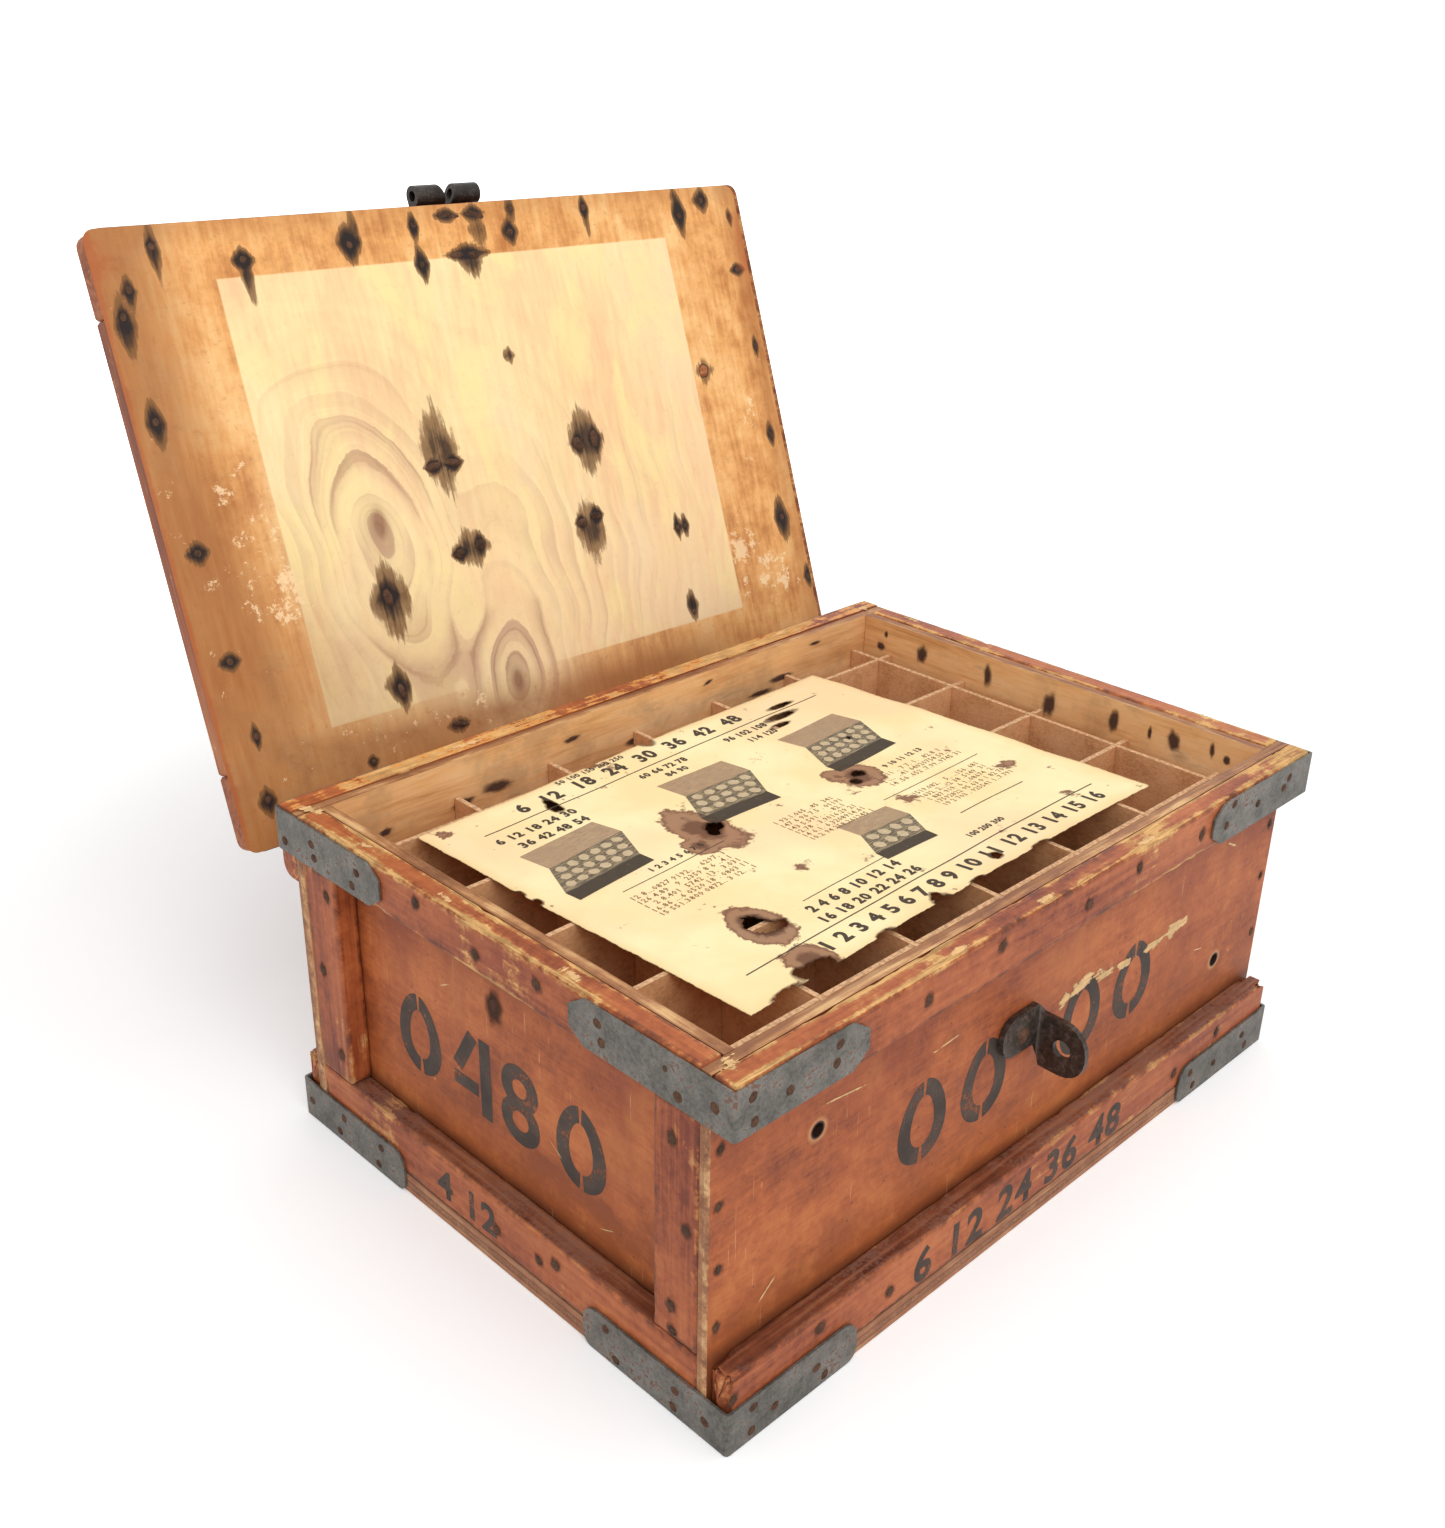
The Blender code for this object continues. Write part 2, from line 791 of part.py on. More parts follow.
def build_hasp_plate(square):
    """Plate on the lid's free edge, curled into two barrels with a V between."""
    front = half_width - hinge_y - lid_depth
    under = lid_top + gap - hinge_z
    radius = hasp_barrel_dia / 2
    left = hasp_shift - hasp_wide / 2
    right = hasp_shift + hasp_wide / 2
    centre = (front - hasp_stand_off - radius, under + hasp_thick + hasp_set_in - radius)
    plate = prism_shape(
        [
            (centre[0], under),
            (front + hasp_run, under),
            (front + hasp_run, under + hasp_thick),
            (centre[0], under + hasp_thick),
        ],
        "X",
        left,
        right,
    )
    hasp = add_object("hasp_plate", plate, "dark_iron", parent=square)
    barrel = rod_shape(hasp_barrel_dia, left, right, centre, sides=24)
    combine(hasp, [add_object("barrel", barrel, "dark_iron", parent=square)], "UNION")
    bore = rod_shape(hasp_bore_dia, left - overrun, right + overrun, centre, sides=16)
    near = front - hasp_stand_off
    far = centre[0] - radius - overrun
    slope = (hasp_mouth - hasp_root) / (2 * radius)
    reach = hasp_mouth / 2 + slope * overrun / 2
    low = centre[1] - radius - overrun
    high = under + hasp_thick + overrun
    wedge = prism_shape(
        [
            (hasp_shift - hasp_root / 2, near),
            (hasp_shift - reach, far),
            (hasp_shift + reach, far),
            (hasp_shift + hasp_root / 2, near),
        ],
        "Z",
        low,
        high,
    )
    combine(
        hasp,
        [
            add_object("bore", bore, "dark_iron", parent=square),
            add_object("wedge", wedge, "dark_iron", parent=square),
        ],
        "DIFFERENCE",
    )
    hasp.data.shade_smooth()
    hasp.data.set_sharp_from_angle(angle=math.radians(35))


def build_handle(square):
    """Bow handle of strap iron standing on two nailed feet."""
    middle_y = half_width - hinge_y - lid_depth / 2 + handle_set_back
    seat = lid_batten_low - hinge_z
    top = seat + handle_rise
    half = handle_reach + handle_thick / 2
    corners = [
        (half, seat + foot_thick / 2),
        (half, top),
        (-half, top),
        (-half, seat + foot_thick / 2),
    ]

    def span(distance, total):
        return middle_y - handle_wide / 2, middle_y + handle_wide / 2

    shape = band_shape(corners, handle_bend, handle_thick, span, steps=5, axis="Y")
    handle = add_object("lid_handle", shape, "dark_iron", parent=square)
    feet = []
    for side in (-1, 1):
        foot = box_shape((foot_wide, foot_long, foot_thick))
        place = (side * handle_reach, middle_y, seat + foot_thick / 2)
        feet.append(add_object("foot", foot, "dark_iron", place, square))
    combine(handle, feet, "UNION")
    handle.data.shade_smooth()
    handle.data.set_sharp_from_angle(angle=math.radians(35))


def comb_outline(half, places, low, cut_from_top):
    """Outline of one divider strip with a half-lap slot at each place."""
    high = low + divider_high
    half_slot = divider_thick / 2 + slot_play
    depth = divider_high / 2 + slot_play / 2
    outline = [(-half, low)]
    if not cut_from_top:
        for place in places:
            outline += [(place - half_slot, low), (place - half_slot, low + depth)]
            outline += [(place + half_slot, low + depth), (place + half_slot, low)]
    outline += [(half, low), (half, high)]
    if cut_from_top:
        for place in reversed(places):
            outline += [(place + half_slot, high), (place + half_slot, high - depth)]
            outline += [(place - half_slot, high - depth), (place - half_slot, high)]
    outline.append((-half, high))
    return outline


def divider_places():
    """Places of the cross strips along X and of the long strips along Y."""
    cross = [cross_pitch * index for index in range(-cross_half_count, cross_half_count + 1)]
    long = [long_pitch * index for index in range(-long_half_count, long_half_count + 1)]
    return cross, long


def cross_strip_shape(x, low):
    """Strip across the crate, slotted from below."""
    long = divider_places()[1]
    outline = comb_outline(side_inner - divider_end_play, long, low, False)
    half = divider_thick / 2
    return prism_shape(outline, "X", x - half, x + half)


def long_strip_shape(y, low):
    """Strip along the crate, slotted from above."""
    cross = divider_places()[0]
    outline = comb_outline(end_inner - divider_end_play, cross, low, True)
    half = divider_thick / 2
    return prism_shape(outline, "Y", y - half, y + half)


def build_upper_dividers():
    """Seven cross strips and five long ones, halved into one another."""
    cross, long = divider_places()
    for index, x in enumerate(cross):
        add_object(f"upper_cross_{index + 1}", cross_strip_shape(x, upper_low), "strawboard")
    for index, y in enumerate(long):
        add_object(f"upper_long_{index + 1}", long_strip_shape(y, upper_low), "strawboard")


def build_lower_dividers():
    """The same grid below, with its four outer strips joined in one frame."""
    cross, long = divider_places()
    low = floor_top
    for index, x in enumerate(cross[1:-1]):
        add_object(f"lower_cross_{index + 2}", cross_strip_shape(x, low), "strawboard")
    for index, y in enumerate(long[1:-1]):
        add_object(f"lower_long_{index + 2}", long_strip_shape(y, low), "strawboard")
    rim = add_object("lower_rim_strips", lower_outer_shape(cross[0], False), "strawboard")
    tools = [add_object("strip", lower_outer_shape(cross[-1], False), "strawboard")]
    for y in (long[0], long[-1]):
        tools.append(add_object("strip", lower_outer_shape(y, True), "strawboard"))
    combine(rim, tools, "UNION")


def lower_outer_shape(place, along):
    """Outer strip of the lower grid, slotted only where inner strips pass."""
    cross, long = divider_places()
    half = divider_thick / 2
    if along:
        outline = comb_outline(end_inner - divider_end_play, cross[1:-1], floor_top, True)
        return prism_shape(outline, "Y", place - half, place + half)
    outline = comb_outline(side_inner - divider_end_play, long[1:-1], floor_top, False)
    return prism_shape(outline, "X", place - half, place + half)


def build_layer_board():
    """Loose board between the two layers of cells."""
    board(
        "layer_board",
        (-end_inner + board_play, -side_inner + board_play, board_low),
        (end_inner - board_play, side_inner - board_play, board_low + board_thick),
        "strawboard",
    )


def leaflet_rise(u, v):
    """Height of the leaflet's underside over the dividers, at shares u and v."""
    ripple = math.sin(math.tau * (1.5 * u + 0.4 * v)) * math.cos(math.tau * 0.9 * v)
    lift = (1 - v) ** 3 * math.sin(math.pi * u) ** 2
    return leaflet_wave * (1 + ripple) + leaflet_lift * lift


def build_leaflet():
    """Closed thin sheet, a little wavy, with its front edge lifted."""
    across, deep = 12, 9
    shape = bmesh.new()
    layers = []
    for level in (0, leaflet_thick):
        rows = []
        for row in range(deep + 1):
            line = []
            for column in range(across + 1):
                u, v = column / across, row / deep
                point = (
                    leaflet_long * (u - 0.5),
                    leaflet_wide * (v - 0.5),
                    leaflet_rise(u, v) + level,
                )
                line.append(shape.verts.new(point))
            rows.append(line)
        layers.append(rows)
    low, high = layers
    for row in range(deep):
        for column in range(across):
            for rows in layers:
                shape.faces.new(
                    (
                        rows[row][column],
                        rows[row][column + 1],
                        rows[row + 1][column + 1],
                        rows[row + 1][column],
                    )
                )
    rim = [(0, column) for column in range(across)]
    rim += [(row, across) for row in range(deep)]
    rim += [(deep, column) for column in range(across, 0, -1)]
    rim += [(row, 0) for row in range(deep, 0, -1)]
    for one, two in zip(rim, rim[1:] + rim[:1]):
        shape.faces.new(
            (
                low[one[0]][one[1]],
                low[two[0]][two[1]],
                high[two[0]][two[1]],
                high[one[0]][one[1]],
            )
        )
    sheet = add_object("leaflet", shape, "paper", (leaflet_x, leaflet_y, leaflet_low))
    sheet.rotation_euler = (0, 0, leaflet_turn)
    sheet.data.shade_smooth()


def main():
    """Build every piece of the crate."""
    clear_scene()
    line = empty("hinge_line", (hinge_shift, hinge_y, hinge_z), (0, 0, hinge_skew))
    swing = empty("lid_swing", (0, 0, 0), (-open_angle, 0, 0), line)
    square = empty("lid_square", (0, 0, 0), (0, 0, -hinge_skew), swing)
    bpy.context.view_layer.update()
    build_base()
    build_panels()
    build_rails(line)
    build_irons()
    build_staple()
    build_hinges(line, swing)
    build_lid(square)
    build_hasp_plate(square)
    build_handle(square)
    build_lower_dividers()
    build_layer_board()
    build_upper_dividers()
    build_leaflet()


main()
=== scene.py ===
"""Wooden egg crate with its lid open, dressed and lit as in the photograph.

Lengths are metres, +Z is up, the crate's long front faces -Y. Patterns on the
lid are laid out in the lid's own plane: x along the crate and s from the rear
edge towards the free edge.
"""

import logging
import math
from dataclasses import dataclass, field
from enum import Enum
from typing import Protocol

import bpy
import numpy as np
from mathutils import Matrix, Vector


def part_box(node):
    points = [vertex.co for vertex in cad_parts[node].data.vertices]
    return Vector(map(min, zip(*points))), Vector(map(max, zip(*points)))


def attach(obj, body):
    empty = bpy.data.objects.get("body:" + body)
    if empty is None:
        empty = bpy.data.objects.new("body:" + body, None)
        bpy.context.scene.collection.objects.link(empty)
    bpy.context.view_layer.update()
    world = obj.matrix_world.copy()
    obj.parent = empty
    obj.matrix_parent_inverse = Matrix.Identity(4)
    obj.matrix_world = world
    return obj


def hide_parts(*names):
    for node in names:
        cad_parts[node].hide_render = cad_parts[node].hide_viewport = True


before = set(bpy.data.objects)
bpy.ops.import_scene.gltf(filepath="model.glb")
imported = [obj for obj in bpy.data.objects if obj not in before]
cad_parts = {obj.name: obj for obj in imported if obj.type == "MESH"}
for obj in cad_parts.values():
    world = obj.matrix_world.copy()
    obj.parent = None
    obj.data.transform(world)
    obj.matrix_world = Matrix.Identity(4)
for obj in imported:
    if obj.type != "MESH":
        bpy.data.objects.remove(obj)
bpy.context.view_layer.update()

LOG = logging.getLogger("egg_crate")

Point = tuple[float, float, float]
Colour = tuple[float, float, float]
Pair = tuple[float, float]
Rows = tuple[tuple[float, ...], ...]
Array = np.ndarray
Material = bpy.types.Material
Socket = bpy.types.NodeSocket

MM = 0.001
TINY = 1e-9

# Heights in metres of flat layers over what they lie on, and of the steps
# between overlapping ones; a dome's rim is sunk instead.
STAIN_LIFT, INK_LIFT, SCAR_LIFT = 0.00006, 0.00008, 0.00015
LAYER, DOME_SINK = 0.00001, 0.0001


class Axis(Enum):
    """Direction that a board's grain runs in."""

    X = 0
    Y = 1
    Z = 2


# Distances in metres from the crate's middle to the outer faces of the panels
# and rails, by the axis that they run along.
PANEL_OUT = {Axis.X: 0.1264, Axis.Y: 0.1779}
RAIL_OUT = {Axis.X: 0.1372, Axis.Y: 0.1887}


class Body(Enum):
    """Moving bodies of the crate that a piece can ride on."""

    CRATE = "crate"
    LID = "lid"
    LEAFLET = "leaflet"


# ---- shader maths


class Value:
    """Number that varies over a surface; arithmetic on it adds Math nodes."""

    def __init__(self, bench: "Bench", link: Socket) -> None:
        """Wrap one output socket of the bench's material."""
        self.bench, self.link = bench, link

    def __add__(self, other: "Number") -> "Value":
        """Sum."""
        return self.bench.maths("ADD", self, other)

    __radd__ = __add__

    def __sub__(self, other: "Number") -> "Value":
        """Difference."""
        return self.bench.maths("SUBTRACT", self, other)

    def __rsub__(self, other: float) -> "Value":
        """Difference from a number."""
        return self.bench.maths("SUBTRACT", other, self)

    def __mul__(self, other: "Number") -> "Value":
        """Product."""
        return self.bench.maths("MULTIPLY", self, other)

    __rmul__ = __mul__

    def __pow__(self, other: float) -> "Value":
        """Power."""
        return self.bench.maths("POWER", self, other)

    def larger(self, other: "Number") -> "Value":
        """The larger of two."""
        return self.bench.maths("MAXIMUM", self, other)

    def smaller(self, other: "Number") -> "Value":
        """The smaller of two."""
        return self.bench.maths("MINIMUM", self, other)

    def sine(self) -> "Value":
        """Sine."""
        return self.bench.maths("SINE", self)

    def size(self) -> "Value":
        """Absolute value."""
        return self.bench.maths("ABSOLUTE", self)

    def ramp(self, low: float, high: float) -> "Value":
        """Smooth step from 0 at low to 1 at high; low may be the larger one.

        Args:
            low: value that gives 0.
            high: value that gives 1.

        Returns:
            The step, held between 0 and 1.
        """
        sockets = {"Value": self, "From Min": low, "From Max": high}
        settings = {"interpolation_type": "SMOOTHSTEP"}
        node = self.bench.add("MapRange", settings, sockets)
        return Value(self.bench, node.outputs[0])


Number = Value | float


class Bench:
    """One material's node tree, with one method that adds any node."""

    def __init__(self, name: str, source: str = "Object") -> None:
        """Start a material with a Principled shader.

        Args:
            name: the material's name.
            source: Object or UV, the coordinates that its patterns follow.
        """
        self.material = bpy.data.materials.new(name)
        self.material.use_nodes = True
        self.tree = self.material.node_tree
        self.shader = self.tree.nodes["Principled BSDF"]
        self.coordinate = self.tree.nodes.new("ShaderNodeTexCoord")
        self.source = self.coordinate.outputs[source]
        self.where = self.place()

    def add(
        self, kind: str, settings: dict | None = None, sockets: dict | None = None
    ) -> bpy.types.Node:
        """Add a node.

        Args:
            kind: the node's type after the word ShaderNode.
            settings: its properties, set first; "stops" fills a colour ramp
                with (place, colour) pairs.
            sockets: values or links for its input sockets.

        Returns:
            The node.
        """
        node = self.tree.nodes.new("ShaderNode" + kind)
        for name, setting in (settings or {}).items():
            if name == "stops":
                self.fill_ramp(node.color_ramp, setting)
            else:
                setattr(node, name, setting)
        for name, value in (sockets or {}).items():
            self.feed(node.inputs[name], value)
        return node

    def feed(self, socket: Socket, value: object) -> None:
        """Link a value to a socket, or set the socket to it.

        Args:
            socket: an input.
            value: varying number, link, number, vector or colour.
        """
        if isinstance(value, Value):
            value = value.link
        if isinstance(value, Socket):
            self.tree.links.new(value, socket)
        elif isinstance(value, tuple) and len(value) == 3 and socket.type == "RGBA":
            socket.default_value = (*value, 1.0)
        else:
            socket.default_value = value

    def fill_ramp(self, ramp: bpy.types.ColorRamp, stops: list) -> None:
        """Give a colour ramp its stops.

        Args:
            ramp: a new ramp.
            stops: its (place, colour) pairs.
        """
        while len(ramp.elements) < len(stops):
            ramp.elements.new(0.5)
        for element, (place, colour) in zip(ramp.elements, stops):
            element.position = place
            element.color = (*colour, 1.0)

    def maths(self, operation: str, first: Number, second: Number = 0.0) -> Value:
        """Math node on numbers or varying numbers."""
        node = self.add("Math", {"operation": operation}, {0: first, 1: second})
        return Value(self, node.outputs[0])

    def place(
        self, source: Socket | None = None, scale: Point = (1, 1, 1), turn: Point = (0, 0, 0)
    ) -> Socket:
        """Coordinates of the piece, scaled and turned.

        Args:
            source: a vector, or None for the bench's own coordinates.
            scale: factors of the three axes.
            turn: Euler angles.

        Returns:
            The vector's socket.
        """
        vector = self.source if source is None else source
        sockets = {"Vector": vector, "Scale": scale, "Rotation": turn}
        return self.add("Mapping", {}, sockets).outputs[0]

    def noise(
        self,
        scale: float,
        detail: float = 3.0,
        rough: float = 0.55,
        twist: float = 0.0,
        where: Socket | None = None,
    ) -> Value:
        """Cloudy noise from 0 to 1, about 0.5.

        Args:
            scale: features per metre.
            detail: how many finer sizes lie over it.
            rough: how much these count.
            twist: how far the noise is warped.
            where: a vector, or None for the bench's own coordinates.

        Returns:
            The noise.
        """
        names = ("Vector", "Scale", "Detail", "Roughness", "Distortion")
        values = (self.where if where is None else where, scale, detail, rough, twist)
        node = self.add("TexNoise", {}, dict(zip(names, values)))
        return Value(self, node.outputs[0])

    def noises(self, *kinds: tuple[float, ...]) -> list[Value]:
        """One noise for each set of numbers that noise takes."""
        return [self.noise(*kind) for kind in kinds]

    def drawn(
        self,
        factors: Point,
        detail: float,
        rough: float = 0.55,
        twist: float = 0.0,
        source: Socket | None = None,
        turn: Point = (0, 0, 0),
    ) -> Value:
        """Noise with its own features per metre along each axis, turned by Euler angles."""
        return self.noise(1.0, detail, rough, twist, self.place(source, factors, turn))

    def grain(
        self, axis: Axis, across: float, along: float, detail: float, **more: object
    ) -> Value:
        """Noise drawn out along a board's grain, by features per metre across and along it."""
        return self.drawn(grain_scale(axis, across, along), detail, **more)

    def cells(self, factors: Point) -> Value:
        """Distance to the nearest of many scattered points."""
        sockets = {"Vector": self.place(scale=factors), "Scale": 1.0}
        return Value(self, self.add("TexVoronoi", {}, sockets).outputs["Distance"])

    def attribute(self, name: str) -> Value:
        """Number that the piece's mesh carries at its vertices."""
        node = self.add("Attribute", {"attribute_name": name})
        return Value(self, node.outputs["Fac"])

    def parts(self, vector: Socket) -> tuple[Value, ...]:
        """The three numbers of a vector."""
        node = self.add("SeparateXYZ", {}, {0: vector})
        return tuple(Value(self, socket) for socket in node.outputs)

    def joined(self, *numbers: Number) -> Socket:
        """Vector of two or three numbers."""
        return self.add("CombineXYZ", {}, dict(enumerate(numbers))).outputs[0]

    def facing(self, direction: Point) -> Value:
        """How much the surface faces a direction of its own space.

        Args:
            direction: of length 1.

        Returns:
            A number from -1 to 1.
        """
        sockets = {0: self.coordinate.outputs["Normal"], 1: direction}
        node = self.add("VectorMath", {"operation": "DOT_PRODUCT"}, sockets)
        return Value(self, node.outputs["Value"])

    def blend(self, share: Number, first: object, second: object) -> Socket:
        """Mix of two colours: share 0 gives the first, 1 the second."""
        sockets = {0: share, 6: first, 7: second}
        return self.add("Mix", {"data_type": "RGBA"}, sockets).outputs[2]

    def coats(self, ground: object, *coats: tuple[Number, object]) -> Socket:
        """A ground under coats of colour.

        Args:
            ground: colour or link.
            coats: the share that each covers, and its colour.

        Returns:
            The mixed colour.
        """
        for share, colour in coats:
            ground = self.blend(share, ground, colour)
        return ground

    def tones(self, value: Value, *stops: tuple[float, Colour]) -> Socket:
        """Colour ramp over a value, of (place, colour) stops."""
        return self.add("ValToRGB", {"stops": stops}, {0: value}).outputs[0]

    def relief(self, height: Value, depth: float, strength: float = 1.0) -> None:
        """Bump of a depth in metres that feeds the shader's normal."""
        sockets = {"Height": height, "Distance": depth, "Strength": strength}
        self.feed(self.shader.inputs["Normal"], self.add("Bump", {}, sockets).outputs[0])

    def finish(
        self,
        colour: object,
        roughness: Number,
        metallic: Number = 0.0,
        alpha: Number = 1.0,
        specular: float = 0.5,
    ) -> Material:
        """Connect the shader.

        Args:
            colour: colour or link.
            roughness: from 0 to 1.
            metallic: from 0 to 1.
            alpha: how much covers what lies behind.
            specular: the same all over.

        Returns:
            The material.
        """
        names = ("Base Color", "Roughness", "Metallic", "Alpha", "Specular IOR Level")
        for name, value in zip(names, (colour, roughness, metallic, alpha, specular)):
            self.feed(self.shader.inputs[name], value)
        return self.material


# ---- finishes


def tint(colour: Colour, factor: float) -> Colour:
    """Colour made darker or lighter by a factor."""
    return tuple(part * factor for part in colour)


def grain_scale(axis: Axis, across: float, along: float) -> Point:
    """Features per metre of the three axes from those across the grain and along it."""
    return tuple(along if way is axis else across for way in Axis)


class Upper(Enum):
    """What the upward face of a board has been through."""

    PLAIN = "plain"
    RUBBED = "rubbed"
    DUSTY = "dusty"


@dataclass(frozen=True)
class StainedWood:
    """Old red-brown stain on solid wood, worn to bare wood at the edges."""

    name: str
    axis: Axis
    upper: Upper = Upper.PLAIN
    tones: Rows = ((0.17, 0.031, 0.011), (0.375, 0.094, 0.028), (0.52, 0.16, 0.05))
    wine: Colour = (0.185, 0.03, 0.018)
    thin: Colour = (0.51, 0.19, 0.055)
    worn: Colour = (0.78, 0.44, 0.165)
    rub: float = 0.3
    edging: float = 0.4
    rough: float = 0.5

    def material(self) -> Material:
        """Build the material.

        Long streaks, slow tone changes, wine-dark clouds and short scratches
        vary the stain. The piece's attribute "edge" runs from 0 on its faces
        to 1 on its arrises and, against noise, thins the stain and then bares
        the wood. A second field makes the board darker towards its bottom.

        Returns:
            The material.
        """
        bench = Bench(self.name)
        slow = bench.grain(self.axis, 30, 9, 4)
        streak = bench.grain(self.axis, 420, 16, 5)
        fibre = bench.grain(self.axis, 1500, 70, 3)
        patch, cloud, fine, mottle = bench.noises(
            (95, 6, 0.68), (17, 4, 0.6), (620, 3), (260, 5, 0.72)
        )
        tone = slow * 1.0 + streak * 0.55 + fibre * 0.25 + patch * 0.55 + mottle * 0.5 - 0.925
        stain = bench.tones(tone, *zip((0.24, 0.5, 0.76), self.tones))
        stain = bench.blend((cloud * 0.7 + patch * 0.3).ramp(0.48, 0.66) * 0.62, stain, self.wine)
        speck = bench.cells(grain_scale(self.axis, 330, 120))
        specks = speck.ramp(0.22, 0.08) * patch.ramp(0.5, 0.72) * 0.5
        stain = bench.blend(specks, stain, self.tones[0])
        edge = bench.attribute("edge")
        wear = edge * self.edging + (patch - 0.5) * 1.6 + (cloud - 0.5) * 2.6
        wear = wear + (streak - 0.5) * 1.1 + (fine - 0.5) * 0.4
        if self.upper is Upper.RUBBED:
            rubbed = bench.facing((0, 0, 1)).ramp(0.6, 0.95)
            wear = wear + rubbed * self.rub
        scratch = (streak * 0.55 + fine * 0.25 + slow * 0.2).ramp(0.655, 0.7) * 0.5
        thinned = wear.ramp(0.3, 0.54).larger(scratch)
        bare = wear.ramp(0.5, 0.64)
        wood = bench.blend(
            (fibre * 0.6 + patch * 0.4).ramp(0.38, 0.62), tint(self.worn, 0.46), self.worn
        )
        dirty = edge.ramp(0.35, 0.85) * (patch * 0.7 + cloud * 0.3).ramp(0.54, 0.4)
        stain = bench.blend(dirty * 0.7, stain, (0.095, 0.032, 0.017))
        colour = bench.blend(thinned * 0.8, stain, self.thin)
        colour = bench.blend(bare, colour, wood)
        rough = self.rough + bare * 0.2 + fine * 0.06 - 0.03
        if self.upper is Upper.DUSTY:
            dust = bench.facing((0, 0, 1)).ramp(0.6, 0.95)
            film = bench.tones(
                streak * 0.6 + patch * 0.25 + slow * 0.35 - 0.1,
                (0.38, (0.075, 0.02, 0.01)),
                (0.5, (0.185, 0.055, 0.024)),
                (0.63, (0.33, 0.135, 0.07)),
            )
            pale = (cloud * 0.6 + fine * 0.4).ramp(0.46, 0.56) * 0.62
            film = bench.blend(pale, film, (0.225, 0.125, 0.095))
            colour = bench.blend(dust * (1 - bare * 0.7) * 0.9, colour, film)
            rough = rough + dust * 0.05
        # Darker towards the bottom of each board, by the field that WornBoard lays.
        low_darkening = bench.attribute("low_darkening") * (0.25 + patch * 1.0)
        colour = bench.blend(low_darkening.ramp(0.3, 1.0) * 0.7, colour, (0.055, 0.022, 0.013))
        bench.relief(streak * 0.6 + fibre * 0.3 + bare * -0.6 + patch * 0.4, 0.0005, 0.6)
        return bench.finish(colour, rough, specular=0.28)


